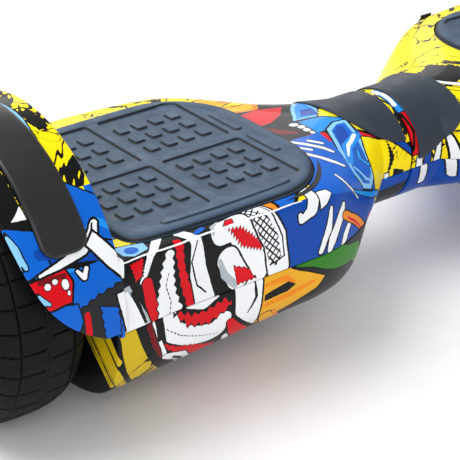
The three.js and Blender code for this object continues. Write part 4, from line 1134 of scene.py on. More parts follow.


# ---- the printed film ----------------------------------------------------------------------------
# A generic comic-style print: flat colour shapes, ribbons and jagged strips with black outlines, and one thin
# white line along the crease that is a painted highlight.
# A place is (along the board, distance up the face and over the deck); a stroke adds its radius.
# A layer is (kind, colour, outline width, shape), and may end with a zigzag: direction, step, depth.

TOP_LAYERS = (
    ("poly", DEEP_BLUE, 0, ((-172, 70), (-40, 70), (-40, 116), (-172, 116))),
    ("poly", BLUE, 0, ((-172, 115), (-40, 112), (-40, 190), (-100, 184), (-112, 150), (-172, 126))),
    ("poly", "cracked", 0, ((-262, 262), (-60, 262), (-60, 345), (-262, 345))),
    ("poly", "cracked", 0, ((-112, 232), (-70, 232), (-56, 300), (-112, 300))),
    # flame colours beside the pad's neck end
    ("poly", INK, 0, ((-97, 180), (-66, 182), (-42, 226), (-42, 262), (-86, 240), (-97, 236))),
    ("stroke", FLAME, 1.0, ((-96, 258, 10), (-84, 266, 9), (-72, 284, 7))),
    ("stroke", ORANGE, 0, ((-86, 258, 3), (-76, 272, 3.4), (-66, 284, 3))),
    ("stroke", INK, 0, ((-79, 262, 1.8), (-72, 274, 3), (-64, 282, 3.4))),
    ("stroke", ORANGE, 0.8, ((-93, 240, 5.6), (-81, 238, 6.6), (-74, 246, 4.2))),
    ("stroke", FLAME, 0, ((-93, 241, 3.8), (-82, 239, 4.6), (-75, 247, 2.4))),
    ("poly", RED, 1.0, ((-99, 208), (-99, 228), (-77, 231), (-61, 229), (-70, 217), (-84, 209))),
    ("stroke", DARK_RED, 0, ((-93, 203, 2.6), (-88, 194, 3.6), (-82, 188, 2.0)), ((1, 0.3), 2.2, 1.2)),
    ("oval", WHITE, 0.8, (-75, 198.2, 3.0, 2.4)),
    ("oval", WHITE, 0.8, (-73.2, 193.0, 2.8, 2.2)),
    ("oval", WHITE, 0.8, (-72.8, 188.0, 2.6, 2.4)),
    ("oval", WHITE, 0.8, (-71.6, 183.2, 2.4, 1.8)),
    # blue shapes with pale edges beside the inlay
    ("poly", PALE_BLUE, 1.2, ((-71, 203), (-58, 224), (-46, 240), (-34, 236), (-46, 214), (-48, 199))),
    ("poly", SKY, 0, ((-68, 204), (-57, 221), (-46, 235), (-38, 232), (-48, 212), (-50, 201))),
    ("poly", DEEP_BLUE, 0, ((-63, 206), (-56, 217), (-49, 216), (-50, 202))),
    ("poly", SKY, 1.2, ((-70, 200), (-51, 198), (-40, 189), (-58, 182), (-69, 181))),
    ("poly", PALE_BLUE, 1.4, ((-40, 187), (-43, 166), (-50, 128), (-60, 115), (-71, 116), (-75, 130),
                              (-70, 156), (-60, 182), (-50, 187))),
    ("poly", BLUE, 0, ((-43, 184), (-46, 166), (-53, 130), (-61, 119), (-69, 120), (-72, 131), (-67, 155),
                       (-58, 179), (-50, 184))),
    ("poly", DEEP_BLUE, 0, ((-47, 181), (-50, 170), (-60, 158), (-65, 160), (-57, 177), (-51, 182))),
    ("stroke", SKY, 0, ((-69, 142, 3.0), (-60, 158, 4.0), (-45, 168, 4.0))),
    ("stroke", WHITE, 0, ((-66, 148, 0.8), (-58, 159, 1.6), (-46, 169, 1.6))),
    ("stroke", SKY, 0.8, ((-54, 152, 1.4), (-57, 144, 1.8), (-52, 137, 1.6), (-47, 141, 1.0))),
    ("stroke", PALE_BLUE, 0, ((-69, 136, 1.0), (-63, 124, 1.4), (-56, 122, 0.8))),
    # white laces over blue
    ("poly", BLUE, 0, ((-118, 118), (-74, 116), (-70, 158), (-66, 181), (-97, 181), (-112, 150))),
    ("stroke", WHITE, 0.8, ((-93, 180, 1.2), (-80, 163, 1.8), (-76, 156, 1.2))),
    ("stroke", WHITE, 0.8, ((-97, 163, 1.4), (-86, 147, 1.9), (-79, 139, 1.3))),
    ("stroke", WHITE, 0.7, ((-96, 173, 1.0), (-89, 164, 1.3))),
    ("stroke", WHITE, 0.6, ((-82, 175, 1.2), (-76, 168, 1.4))),
    ("stroke", WHITE, 0.6, ((-95, 131, 0.8), (-90, 118, 0.9), (-83, 108, 0.8))),
    ("oval", WHITE, 0.5, (-105.5, 143.5, 2.2, 1.2)),
    # yellow panel under the inlay
    ("poly", "cracked", 1.3, ((-41, 181), (-20, 158), (3, 150), (3, 100), (-44, 100), (-57, 116),
                              (-47, 148))),
    ("stroke", INK, 0, ((-20, 156, 0.7), (-18, 142, 2.4), (-21, 133, 1.2)), ((0.3, 1), 3.0, 0.8)),
    ("poly", "cracked", 0, ((-5, 150), (3, 150), (3, 320), (-5, 320))),
    ("stroke", INK, 0, ((-1, 208, 1.0), (-4, 198, 1.2), (-1, 190, 0.8))),
    ("stroke", INK, 0, ((-3, 176, 0.8), (-1, 166, 1.6), (-3, 158, 0.8))),
    ("poly", WHITE, 0.8, ((-24, 132), (-20.5, 132), (-20.5, 88), (-24, 88))),
    ("poly", INK, 0, ((-17, 134), (-7, 130), (-7, 88), (-17, 88))),
    ("stroke", SKY, 1.0, ((-84, 113, 1.4), (-62, 111, 2.0), (-42, 115, 1.4))),
    # outer end of the front face
    ("poly", INK, 0, ((-262, 70), (-160, 70), (-160, 127), (-262, 127))),
    ("poly", YELLOW, 0.8, ((-252, 139), (-240, 139), (-240, 130), (-248, 128))),
    ("poly", PALE_BLUE, 0.8, ((-252, 131), (-235, 127), (-236, 120), (-247, 117.5), (-252, 121))),
    ("oval", BLUE, 0, (-245, 123.5, 4.2, 3.6)),
    ("poly", WHITE, 1.4, ((-266, 140), (-251, 140), (-254.5, 119), (-254, 107), (-266, 104))),
    ("poly", GREY, 1.2, ((-266, 98), (-254, 100), (-241, 76), (-241, 70), (-266, 70))),
    ("poly", WHITE, 0, ((-262, 96), (-255, 97), (-243, 76), (-246, 70), (-258, 70))),
    ("stroke", INK, 0, ((-252, 95, 0.9), (-248, 86, 1.3), (-244, 75, 0.9))),
    ("stroke", WHITE, 1.0, ((-227, 126, 2.4), (-239, 113, 2.2), (-245, 99, 1.8))),
    ("poly", RED, 1.2, ((-252.5, 113), (-243.5, 114), (-245, 103), (-250, 100)), ((1, 1), 2.4, 0.9)),
    ("stroke", RED, 1.0, ((-242, 97, 3.4), (-240, 86, 3.6), (-236, 74, 3.8))),
    ("stroke", WHITE, 0.9, ((-226, 112, 3.0), (-228, 100, 4.8), (-229, 86, 7.0), (-227, 74, 9.0)),
     ((0.2, 1), 5.5, 1.5)),
    ("stroke", INK, 0, ((-227, 101, 0.35), (-229.5, 92, 0.5), (-226, 82, 0.45), (-227.5, 74, 0.4)),
     ((0, 1), 3.0, 0.4)),
    ("stroke", RED, 1.0, ((-220, 117, 3.2), (-218.5, 100, 2.6), (-216, 88, 3.4), (-211, 75, 4.6)),
     ((0.3, 1), 6.0, 1.1)),
    ("stroke", WHITE, 1.0, ((-214, 125, 3.2), (-208.5, 112, 3.6), (-207.5, 94, 5.4), (-203.5, 76, 6.4))),
    ("stroke", INK, 0, ((-208, 113, 0.4), (-212, 101, 0.5), (-208.5, 86, 0.5), (-203, 80, 0.6))),
    ("stroke", INK, 0, ((-201, 100, 0.4), (-199.5, 88, 0.5), (-196, 77, 0.6))),
    ("poly", INK, 0, ((-205.5, 113), (-198, 113.5), (-199, 102), (-203, 103)), ((1, 0.2), 2.2, 0.6)),
    ("stroke", BLUE, 0.8, ((-206, 119, 1.5), (-200.5, 121, 1.6))),
    ("stroke", WHITE, 1.2, ((-190, 113, 8.2), (-179, 114, 9.0), (-173, 100, 9.5), (-170, 82, 10))),
    ("stroke", WHITE, 1.2, ((-187, 95, 7.2), (-181, 82, 7.4))),
    ("stroke", GREY, 0, ((-192.6, 96, 1.2), (-190, 86, 2.4), (-183, 78, 2.2))),
    ("stroke", GREY, 0, ((-196.6, 113, 0.8), (-195.4, 119, 1.2), (-190, 122, 0.6))),
    ("stroke", INK, 0, ((-201, 99.5, 1.6), (-196, 101.5, 1.5), (-191.5, 101, 0.5))),
    ("poly", RED, 0.6, ((-189, 117), (-185, 121.5), (-181, 121), (-182, 116)), ((1, 0.4), 1.8, 0.5)),
    ("poly", RED, 0.5, ((-188, 114), (-178, 113), (-163, 99), (-163, 92), (-178, 99)), ((1, -0.4),
                        2.6, 2.2)),
    ("poly", RED, 0.5, ((-184, 90), (-174, 86), (-168, 77), (-182, 77)), ((1, 0.2), 3.0, 1.2)),
    ("stroke", WHITE, 1.3, ((-167, 126, 6.0), (-162, 112, 7.6), (-154.5, 97, 7.8), (-152, 78, 7.6))),
    ("mesh", INK, 0, ((-169.5, 124, 3.4), (-164, 111, 5.0), (-157, 97, 5.2), (-154.5, 85, 4.6))),
    ("stroke", INK, 0, ((-161, 125, 0.4), (-155.5, 112, 0.5), (-149, 97, 0.5), (-147.5, 84, 0.5),
                        (-158, 82, 0.6))),
    # ribbons on the blue face
    ("stroke", WHITE, 1.1, ((-127, 130, 2.6), (-125, 115, 3.8), (-128, 106, 3.8), (-134.5, 102.5, 2.4),
                            (-136.5, 106, 1.2))),
    ("poly", WHITE, 1.0, ((-121.5, 105), (-120.5, 119), (-113, 119), (-110, 115), (-117, 107))),
    ("stroke", WHITE, 1.1, ((-113, 104, 1.2), (-115, 91, 2.4), (-121, 78, 1.6))),
    ("stroke", WHITE, 1.1, ((-101, 105, 1.2), (-104, 97, 3.0), (-111, 84, 3.2), (-114, 77, 1.8))),
    ("stroke", WHITE, 0.8, ((-94, 92, 1.6), (-99, 83, 2.2), (-102, 77, 1.2))),
    ("stroke", ORANGE, 1.0, ((-99, 97, 2.8), (-80, 90, 3.4), (-62, 84, 2.6))),
    ("stroke", RED, 0, ((-96, 95.2, 0.9), (-80, 88, 1.0), (-64, 83, 0.8))),
    ("stroke", GREEN, 0.8, ((-92, 78, 3.0), (-78, 74, 3.0))),
    # painted highlight: a thin white line along the crease between the deck and the front face, standing in
    # for the gloss reflection there
    ("stroke", WHITE, 0, ((-256, 115.4, 0.5), (-240, 115.6, 0.8), (-160, 115.6, 0.8),
                          (-134, 115.4, 0.5))),
)

RIGHT_TOP_LAYERS = (
    ("poly", "cracked", 0, ((-300, 127), (-30, 127), (-30, 345), (-300, 345))),
    ("poly", "cracked", 0, ((-80, 96), (3, 96), (3, 345), (-80, 345))),
    ("poly", INK, 0, ((-43, 219), (-60, 224), (-74, 206), (-66, 190), (-46, 184)), ((0.6, 1), 4.0, 1.6)),
    ("stroke", WHITE, 0.9, ((-37, 222, 1.0), (-43.5, 210, 1.4), (-43.5, 196, 1.2), (-39, 178, 1.0))),
    ("stroke", WHITE, 0.9, ((-44, 197, 1.6), (-56, 184, 1.8), (-60, 170, 1.0))),
    ("stroke", "cracked", 0.9, ((-44, 188, 1.6), (-52, 178, 1.8))),
    ("poly", SKY, 0, ((-5, 178), (3, 178), (3, 216), (-5, 216))),
    ("stroke", WHITE, 0, ((-2, 214, 1.4), (-3, 200, 1.8), (-1.5, 186, 1.2))),
    ("poly", RED, 0.8, ((-5, 138), (3, 138), (3, 177), (-5, 177))),
    ("stroke", INK, 0, ((-1, 176, 0.8), (-3.6, 158, 1.0), (-1, 142, 0.8))),
    ("stroke", WHITE, 1.1, ((-6, 134, 2.4), (-8, 112, 2.8), (-6, 90, 2.6))),
    ("stroke", DEEP_BLUE, 1.1, ((-13.5, 134, 2.6), (-13.5, 112, 3.0), (-12, 90, 2.6))),
    ("stroke", WHITE, 1.1, ((-23, 140, 1.6), (-21, 122, 3.4), (-21, 90, 3.0))),
    ("stroke", WHITE, 1.1, ((-29, 141, 1.2), (-33, 122, 2.4), (-42, 108, 3.0))),
    ("poly", BLUE, 1.0, ((-36, 112), (-62, 122), (-88, 104), (-88, 84), (-30, 84))),
    ("stroke", WHITE, 1.0, ((-44, 113, 1.6), (-60, 108, 2.0), (-84, 92, 1.6))),
    ("stroke", SKY, 0, ((-40, 96, 2.0), (-60, 97, 2.6), (-80, 86, 2.0))),
)

BOTTOM_LAYERS = (
    ("poly", DARK_GREY, 0, ((-165, 80), (3, 80), (3, -60), (-150, -60))),
    ("poly", INK, 0, ((-270, 80), (-160, 80), (-140, -60), (-270, -60))),
    ("stroke", "mustard", 0.8, ((-270, 66, 5.0), (-262, 58, 3.0))),
    ("stroke", "mustard", 0.8, ((-268, 30, 7.0), (-262, 34, 3.0))),
    ("stroke", "mustard", 0.8, ((-264, 50, 3.4), (-254, 26, 3.0), (-246, 0, 2.6), (-242, -20, 3.0))),
    ("stroke", "mustard", 0.8, ((-256, 76, 5.0), (-249, 50, 7.0), (-238, 26, 8.0), (-228, 2, 9.0),
                                (-220, -24, 9))),
    ("stroke", DARK_RED, 0.8, ((-241.5, 75, 2.2), (-237, 60, 2.6), (-231.5, 46, 1.8)), ((0.3, 1),
                               4.0, 1.0)),
    ("stroke", WHITE, 0.8, ((-238.5, 75, 1.0), (-233, 58, 1.1), (-229, 46, 1.4))),
    ("stroke", INK, 0, ((-235.5, 76, 2.6), (-234, 62, 1.6))),
    ("stroke", WHITE, 1.0, ((-228, 74, 4.4), (-223, 60, 6.4), (-210, 51, 8.0), (-196, 47, 9.0),
                            (-190, 56, 6.0))),
    ("stroke", RED, 0.9, ((-222.5, 73, 2.0), (-213, 65, 4.4), (-201, 63, 6.0), (-190, 67, 5.2)), ((1, 0),
                          5.0, 2.6)),
    ("stroke", WHITE, 1.1, ((-218, 77, 2.6), (-204, 72.5, 3.2), (-192, 78, 2.6))),
    ("stroke", INK, 0, ((-230, 67, 0.4), (-220, 57, 0.5), (-207, 50, 0.5), (-191, 43, 0.4)), ((1, 0),
                        2.6, 0.5)),
    ("stroke", RED, 0.6, ((-230, 55, 1.2), (-221, 45, 3.2), (-207, 36, 5.0), (-196, 24, 7.4),
                          (-188, 6, 8.6), (-196, -14, 7.0)), ((1, 0.3), 3.6, 1.4)),
    ("stroke", WHITE, 1.0, ((-228, 43, 2.2), (-216, 33, 4.8), (-208, 14, 5.4), (-207, -5, 4.4),
                            (-216, -14, 3.0))),
    ("stroke", GREY, 0, ((-220, 34, 1.6), (-212, 18, 2.6), (-210, 0, 2.0))),
    ("stroke", INK, 0, ((-221, 36, 1.0), (-214, 27, 1.6), (-209, 10, 0.8))),
    ("stroke", WHITE, 1.0, ((-184, 34, 2.6), (-177, 18, 4.4), (-170, 2, 3.6), (-164, -12, 5))),
    ("stroke", WHITE, 1.0, ((-170, -6, 4), (-152, -22, 8))),
    ("poly", WHITE, 1.1, ((-183, 77), (-163, 77), (-163, 32), (-169, 40), (-181, 56))),
    ("stroke", INK, 0, ((-169, 76, 0.5), (-167, 64, 1.1), (-172, 53, 0.4))),
    ("stroke", RED, 1.0, ((-184, 51, 2.6), (-178, 38, 5.0), (-168, 20, 6.4), (-160, 0, 6.4),
                          (-150, -22, 5))),
    ("poly", AMBER, 1.3, ((-162, 78), (-150, 78), (-116, 59), (-121, 50), (-140, 40), (-162, 30))),
    ("stroke", ORANGE, 0, ((-160, 69, 1.4), (-146, 69, 2.0), (-140, 64, 1.4))),
    ("stroke", ORANGE, 0, ((-160, 53, 1.8), (-140, 55, 2.8), (-124, 58, 1.2))),
    ("poly", INK, 0, ((-161, 62), (-144, 66), (-138, 62), (-144, 58.5), (-161, 57))),
    ("stroke", AMBER, 1.2, ((-157, 40, 4.2), (-149, 22, 5.6), (-138, 4, 6.2), (-126, -6, 6.4),
                            (-104, -10, 6.0), (-84, -14, 5.0))),
    ("stroke", ORANGE, 0, ((-152, 44, 1.2), (-143, 22, 2.6), (-132, 0, 2.4))),
    ("stroke", GREEN, 1.2, ((-146, 78, 1.6), (-122, 73, 5.0), (-104, 65, 6.4), (-86, 53, 5.0),
                            (-78, 36, 3))),
    ("stroke", ORANGE, 1.0, ((-66, 60, 2.6), (-52, 20, 4.0), (-36, -18, 4.0))),
    ("stroke", RED, 0, ((-63, 52, 1.0), (-50, 16, 1.6), (-36, -16, 1.6))),
    ("stroke", SKY, 1.0, ((-56, 50, 1.6), (-40, 14, 2.6), (-22, -14, 2.2))),
    ("poly", DEEP_BLUE, 1.0, ((-50, 80), (3, 80), (3, 10), (-24, 8))),
    ("stroke", SKY, 0, ((-44, 72, 1.2), (-30, 44, 2.0), (-22, 20, 1.4))),
)

RIGHT_BOTTOM_LAYERS = (
    ("poly", DEEP_BLUE, 0, ((-70, 80), (3, 80), (3, -74), (-40, -74))),
    ("stroke", WHITE, 1.1, ((-21, 80, 3.0), (-24, 50, 3.4), (-34, 10, 3.0))),
    ("stroke", WHITE, 1.1, ((-6, 80, 2.6), (-8, 40, 3.0), (-14, 0, 2.6))),
    ("stroke", SKY, 0, ((-36, 76, 1.6), (-44, 40, 2.4), (-56, 4, 1.6))),
)

DEGREE = math.radians(1) * FENDER_RADIUS  # one degree round the fender, in millimetres

FENDER_LAYERS = (
    ("poly", INK, 0, ((-330, 200), (-299, 200), (-299, 34), (-330, 34))),
    ("poly", BLUE, 0, ((-262, 48), (-130, 48), (-130, -8), (-262, -8))),
    ("poly", "cracked", 0, ((-300, 47), (-130, 47), (-130, 200), (-300, 200))),
    ("poly", INK, 0.5, ((-268.5, 82), (-262, 83), (-258.5, 74), (-262, 70), (-268, 73)), ((1, 0.6),
                        4.0, 1.2)),
    ("stroke", PALE_BLUE, 0.8, ((-270.5, 90, 0.9), (-270, 78, 1.2), (-272, 68, 0.8))),
    ("poly", BLUE, 1.0, ((-272, 54), (-256, 42), (-240, 34), (-240, 24), (-272, 32))),
    ("stroke", SKY, 0, ((-269, 34, 1.4), (-262, 35, 1.8), (-254, 30, 1.2))),
    ("poly", BLUE, 1.2, ((-330, 44), (-316, 42), (-299, 38), (-296, 27), (-312, 24), (-330, 30))),
    ("stroke", DEEP_BLUE, 0, ((-300, 31, 3.0), (-288, 28.5, 2.0), (-270, 30, 1.4))),
    ("stroke", PALE_BLUE, 0.8, ((-315, 40, 1.2), (-312, 35, 2.0), (-309, 28, 1.0))),
    ("poly", WHITE, 0.6, ((-308, 43), (-300, 47), (-299.5, 42.5))),
    ("poly", BLUE, 0, ((-300, 22), (-258, 24), (-256, -8), (-300, -8))),
    ("poly", DARK_GREY, 0.8, ((-286, 11), (-273, 13), (-256, 17), (-256, 8), (-272, -8), (-292, -8)),
     ((1, 0.4), 6.0, 1.6)),
    ("poly", BLUE, 0.8, ((-273, 9), (-262, 7), (-261, -8), (-271, -8)), ((0.4, 1), 5.0, 1.0)),
    ("stroke", RED, 0, ((-281, 7.5, 1.7), (-280.5, -6, 2.0))),
    ("poly", BLUE, 1.0, ((-309, 14), (-286, 12), (-284, 6), (-292, -2), (-312, 2))),
    ("poly", RED, 1.3, ((-311, 23), (-289, 24.5), (-286.5, 20), (-289, 13.5), (-301, 13))),
    ("stroke", DARK_RED, 0, ((-304, 22.5, 1.6), (-290, 22.5, 1.4))),
    ("oval", WHITE, 0.5, (-300.5, 20.6, 1.8, 1.1)),
    ("oval", WHITE, 0.5, (-296, 21.4, 1.5, 0.9)),
    ("oval", WHITE, 0.5, (-290.6, 19.6, 2.0, 1.7)),
    ("oval", WHITE, 0.4, (-289.6, 16.6, 0.8, 0.8)),
    ("stroke", PALE_BLUE, 0.6, ((-311, 22, 0.8), (-305, 17, 1.3), (-301, 15, 0.6))),
    ("stroke", WHITE, 1.3, ((-303, 24.5, 0.7), (-290, 26, 1.8), (-276, 28, 2.4), (-268, 31.5, 2.8),
                            (-264.5, 35, 1.8))),
    ("stroke", INK, 0, ((-274, 29.5, 0.5), (-268.5, 32, 0.7), (-265.5, 35, 0.5))),
    ("stroke", WHITE, 1.1, ((-282, 22.5, 0.9), (-279, 20, 1.5), (-276.5, 22.5, 1.3))),
    ("poly", WHITE, 1.4, ((-273, 29), (-266, 33), (-255, 22), (-248, 16), (-256, 14.5))),
    ("poly", WHITE, 1.2, ((-262, 11), (-252, 12), (-240, 11), (-240, -8), (-257, -8))),
    ("stroke", INK, 0, ((-255, 11, 0.6), (-252, 2, 1.0), (-250, -8, 0.6))),
)


def by_degree(layer):
    """A layer drawn in degrees round the fender, with its second number in millimetres of arc."""
    kind, colour, outline, shape = layer[:4]
    if kind == "oval":
        shape = (shape[0], shape[1] * DEGREE, shape[2], shape[3] * DEGREE)
    else:
        shape = tuple((p[0], p[1] * DEGREE, *p[2:]) for p in shape)
    return (kind, colour, outline, shape, *layer[4:])


LAYERS_PER_GROUP = 10


def draw_layers(graph, place, base, layers, fills=None):
    """Paints the layers over a base colour, a few to a node group. fills maps a name to a socket."""
    names = sorted(fills or {})
    for start in range(0, len(layers), LAYERS_PER_GROUP):
        tree = bpy.data.node_groups.new("print_layers", "ShaderNodeTree")
        for name, kind in [("Place", "NodeSocketVector"), ("Base", "NodeSocketColor")] + [
                (name, "NodeSocketColor") for name in names]:
            tree.interface.new_socket(name, in_out="INPUT", socket_type=kind)
        tree.interface.new_socket("Colour", in_out="OUTPUT", socket_type="NodeSocketColor")
        inner = Graph(tree)
        given = inner.node("NodeGroupInput").outputs
        colour = given["Base"]
        for layer in layers[start:start + LAYERS_PER_GROUP]:
            colour = draw_layer(inner, given["Place"], colour, layer, {name: given[name] for name in names})
        out = tree.nodes.new("NodeGroupOutput")
        tree.links.new(colour, out.inputs[0])
        group = graph.node("ShaderNodeGroup", node_tree=tree)
        graph.feed_all(group, {"Place": place, "Base": base, **(fills or {})})
        base = group.outputs[0]
    return base


def draw_layer(graph, place, base, layer, fills):
    """Paints one layer of the print over the base colour."""
    kind, colour, outline, shape = layer[:4]
    colour = fills[colour] if isinstance(colour, str) else colour
    if kind == "poly":
        distance = graph.polygon(place, shape)
    elif kind == "oval":
        distance = graph.oval(place, shape[:2], shape[2], shape[3])
    else:
        distance = graph.stroke(place, shape)
    if kind == "mesh":
        lines = None
        for slant in ((0.74, 0.67), (0.74, -0.67)):
            along = graph.vector("DOT_PRODUCT", place, (slant[0], slant[1], 0.0))
            line = graph.math("SUBTRACT", graph.math("PINGPONG", along, 1.65), 0.5)
            lines = line if lines is None else graph.math("MINIMUM", lines, line)
        distance = graph.math("MAXIMUM", distance, lines)
    for direction, step, depth in layer[4:]:
        distance = graph.zigzag(place, distance, direction, step, depth)
    return graph.paint(base, distance, colour, outline)


def cracked_fill(graph, place, colour, seed):
    """A bright fill crossed by broken black brush lines and a few blots."""
    long_lines = graph.cracks(place, 62, 70, 17.0, 0.045, seed)
    short_lines = graph.cracks(place, -28, 50, 24.0, 0.02, seed + 3.0)
    fill = graph.blend(graph.math("LESS_THAN", long_lines, 0.0), colour, INK)
    fill = graph.blend(graph.math("LESS_THAN", short_lines, 0.0), fill, INK)
    blots = graph.noise(place, 0.06, 2.0, 0.7)[0]
    return graph.blend(graph.math("GREATER_THAN", blots, 0.68), fill, INK)


CELL_COLOURS = (BLUE, YELLOW, WHITE, RED, INK, SKY, DEEP_BLUE, YELLOW, ORANGE, WHITE)


def top_print(right):
    """The drawing of the top shell's print, for the right or the left half."""
    def draw(graph):
        place = body_place(graph, right, True)
        fills = {"cracked": cracked_fill(graph, place, YELLOW, 4.0 if right else 1.0)}
        base = cell_base(graph, place, CELL_COLOURS, 30)
        base = draw_layers(graph, place, base, TOP_LAYERS, fills)
        return draw_layers(graph, place, base, RIGHT_TOP_LAYERS if right else (), fills)
    return draw


def bottom_print(right):
    """The drawing of the bottom shell's print, for the right or the left half."""
    def draw(graph):
        place = body_place(graph, right, False)
        fills = {"mustard": cracked_fill(graph, place, MUSTARD, 7.0)}
        base = cell_base(graph, place, (DEEP_BLUE, MUSTARD, GREY, DARK_RED, INK, DARK_GREY, BLUE, ORANGE), 34)
        base = draw_layers(graph, place, base, BOTTOM_LAYERS, fills)
        return draw_layers(graph, place, base, RIGHT_BOTTOM_LAYERS if right else (), fills)
    return draw


def fender_print(graph):
    """The print over the fender's crown and down its flank, and on the wheel wall."""
    scaled, x, y, z = millimetres(graph)
    height = graph.math("SUBTRACT", z, AXLE_HEIGHT)
    squares = graph.math("ADD", graph.math("MULTIPLY", y, y), graph.math("MULTIPLY", height, height))
    radius = graph.math("SQRT", squares)
    angle = graph.math("ARCTAN2", height, graph.math("ABSOLUTE", y))
    up = graph.math("MULTIPLY", angle, FENDER_RADIUS)
    inward = graph.math("SUBTRACT", FENDER_RADIUS, radius)
    along = graph.math("SUBTRACT", inward, graph.math("ABSOLUTE", x))
    place = hand_drawn(graph, scaled, along, up, 1.2, 0.35)
    # the fill runs on over the crown, so the front and back halves of the arch are not mirror images
    turn = graph.math("ARCTAN2", height, graph.math("MULTIPLY", y, -1.0))
    run = graph.math("MULTIPLY", turn, FENDER_RADIUS)
    whole = hand_drawn(graph, scaled, along, run, 1.2, 0.35)
    fills = {"cracked": cracked_fill(graph, whole, YELLOW, 2.0)}
    base = cell_base(graph, whole, CELL_COLOURS, 30)
    return draw_layers(graph, place, base, [by_degree(layer) for layer in FENDER_LAYERS], fills)


# ---- materials -----------------------------------------------------------------------------------

def material(name, draw):
    """A Principled material. draw(graph, shader) feeds its sockets."""
    made = bpy.data.materials.new(name)
    made.use_nodes = True
    shader = made.node_tree.nodes["Principled BSDF"]
    draw(Graph(made.node_tree), shader)
    return made


def own_place(graph):
    """The place in the object's own coordinates, in metres."""
    return graph.node("ShaderNodeTexCoord").outputs["Object"]


def bump(graph, shader, height, strength, distance):
    """Roughens a shader's surface by a height."""
    node = graph.node("ShaderNodeBump", {"Strength": strength, "Distance": distance, "Height": height})
    graph.feed(shader.inputs["Normal"], node.outputs[0])


def printed(name, draw):
    """Water-transfer print under a clear coat: flat inks, faint orange peel and light scuffs."""
    def fill(graph, shader):
        group = graph.node("ShaderNodeGroup", node_tree=film_group(name + "_layout", draw))
        place = own_place(graph)
        cloud = graph.noise(place, 26.0, 3.0)[0]
        shade = graph.node("ShaderNodeHueSaturation", {
            "Hue": 0.5, "Saturation": 1.0, "Value": graph.span(cloud, 0.3, 0.7, 0.93, 1.03),
            "Fac": 1.0, "Color": group.outputs[0]})
        scuff = graph.noise(place, 190.0, 4.0, 0.65)[0]
        graph.feed_all(shader, {
            "Base Color": shade.outputs[0], "Roughness": graph.span(scuff, 0.35, 0.75, 0.3, 0.42),
            "Coat Weight": 0.16, "Coat Roughness": 0.06, "Specular IOR Level": 0.08})
        bump(graph, shader, graph.noise(place, 900.0, 1.0)[0], 0.05, 0.0004)
    return material(name, fill)


def moulded(name, colour, dark, rough, grain=700.0, depth=0.2, metallic=0.0, coat=0.0, wear=None, gloss=0.3):
    """Moulded or cast stock: two close tones, a fine grain, and rougher and smoother areas. The
    colours are screen colours from 0 to 255."""
    def fill(graph, shader):
        place = own_place(graph)
        cloud = graph.span(graph.noise(place, 38.0, 4.0, 0.6)[0], 0.32, 0.68)
        tone = graph.blend(cloud, linear(*colour), linear(*dark))
        if wear is not None:
            rub = graph.span(graph.noise(place, 14.0, 6.0, 0.7)[0], 0.56, 0.7, 0.0, 0.55)
            tone = graph.blend(rub, tone, linear(*wear))
        patch = graph.noise(place, 90.0, 3.0)[0]
        graph.feed_all(shader, {
            "Base Color": tone, "Roughness": graph.span(patch, 0.3, 0.7, rough - 0.07, rough + 0.07),
            "Metallic": metallic, "Coat Weight": coat, "Specular IOR Level": 0.5 if metallic else gloss})
        bump(graph, shader, graph.noise(place, grain, 2.0, 0.6)[0], depth, 0.0003)
    return material(name, fill)


def pad_material(name):
    """Slate rubber: the steep walls of the raised cleats and bars are painted near black as shade, and the
    rounded edge is darker towards its foot; flats carry rubbed, paler patches.
    """
    def fill(graph, shader):
        place = own_place(graph)
        normal = graph.node("ShaderNodeTexCoord").outputs["Normal"]
        facing = graph.node("ShaderNodeSeparateXYZ", {0: normal}).outputs[2]
        height = graph.node("ShaderNodeSeparateXYZ", {0: place}).outputs[2]
        tone = graph.blend(graph.span(graph.noise(place, 30.0, 4.0, 0.6)[0], 0.3, 0.7),
                           linear(60, 84, 109), linear(50, 71, 94))
        stretched = graph.vector("MULTIPLY", place, (1.0, 0.4, 1.0))
        rub = graph.span(graph.noise(stretched, 46.0, 5.0, 0.68)[0], 0.55, 0.72, 0.0, 0.5)
        tone = graph.blend(rub, tone, linear(90, 115, 142))
        skirt = graph.span(height, (PAD_TOP - 3.4) * MM, (PAD_TOP - 0.8) * MM, 0.8, 0.0)
        tone = graph.blend(skirt, tone, linear(44, 54, 68))
        # painted shade: steep walls high on the relief turn near black, standing in for the shade along the
        # sides of the cleats and bars
        wall = graph.span(facing, 0.84, 0.985, 0.97, 0.0)
        raised = graph.span(height, (PAD_TOP - 2.0) * MM, (PAD_TOP - 1.6) * MM)
        upper = graph.math("MULTIPLY", wall, raised)
        tone = graph.blend(upper, tone, linear(9, 13, 19))
        worn = graph.noise(place, 120.0, 3.0)[0]
        graph.feed_all(shader, {"Base Color": tone, "Roughness": graph.span(worn, 0.3, 0.7, 0.42, 0.56),
                                "Specular IOR Level": 0.3})
        bump(graph, shader, graph.noise(place, 1400.0, 2.0, 0.6)[0], 0.12, 0.0003)
    return material(name, fill)


def winding_material(name):
    """Enamelled copper wire wound in fine turns."""
    def fill(graph, shader):
        place = own_place(graph)
        wave = graph.node("ShaderNodeTexWave", {"Vector": place, "Scale": 260.0, "Distortion": 0.6,
                                                "Detail": 1.0}, bands_direction="Z").outputs[1]
        copper = graph.blend(wave, linear(150, 78, 34), linear(206, 120, 60))
        graph.feed_all(shader, {"Base Color": copper, "Roughness": graph.span(wave, 0.0, 1.0, 0.45, 0.3),
                                "Metallic": 0.85})
        bump(graph, shader, wave, 0.5, 0.0004)
    return material(name, fill)


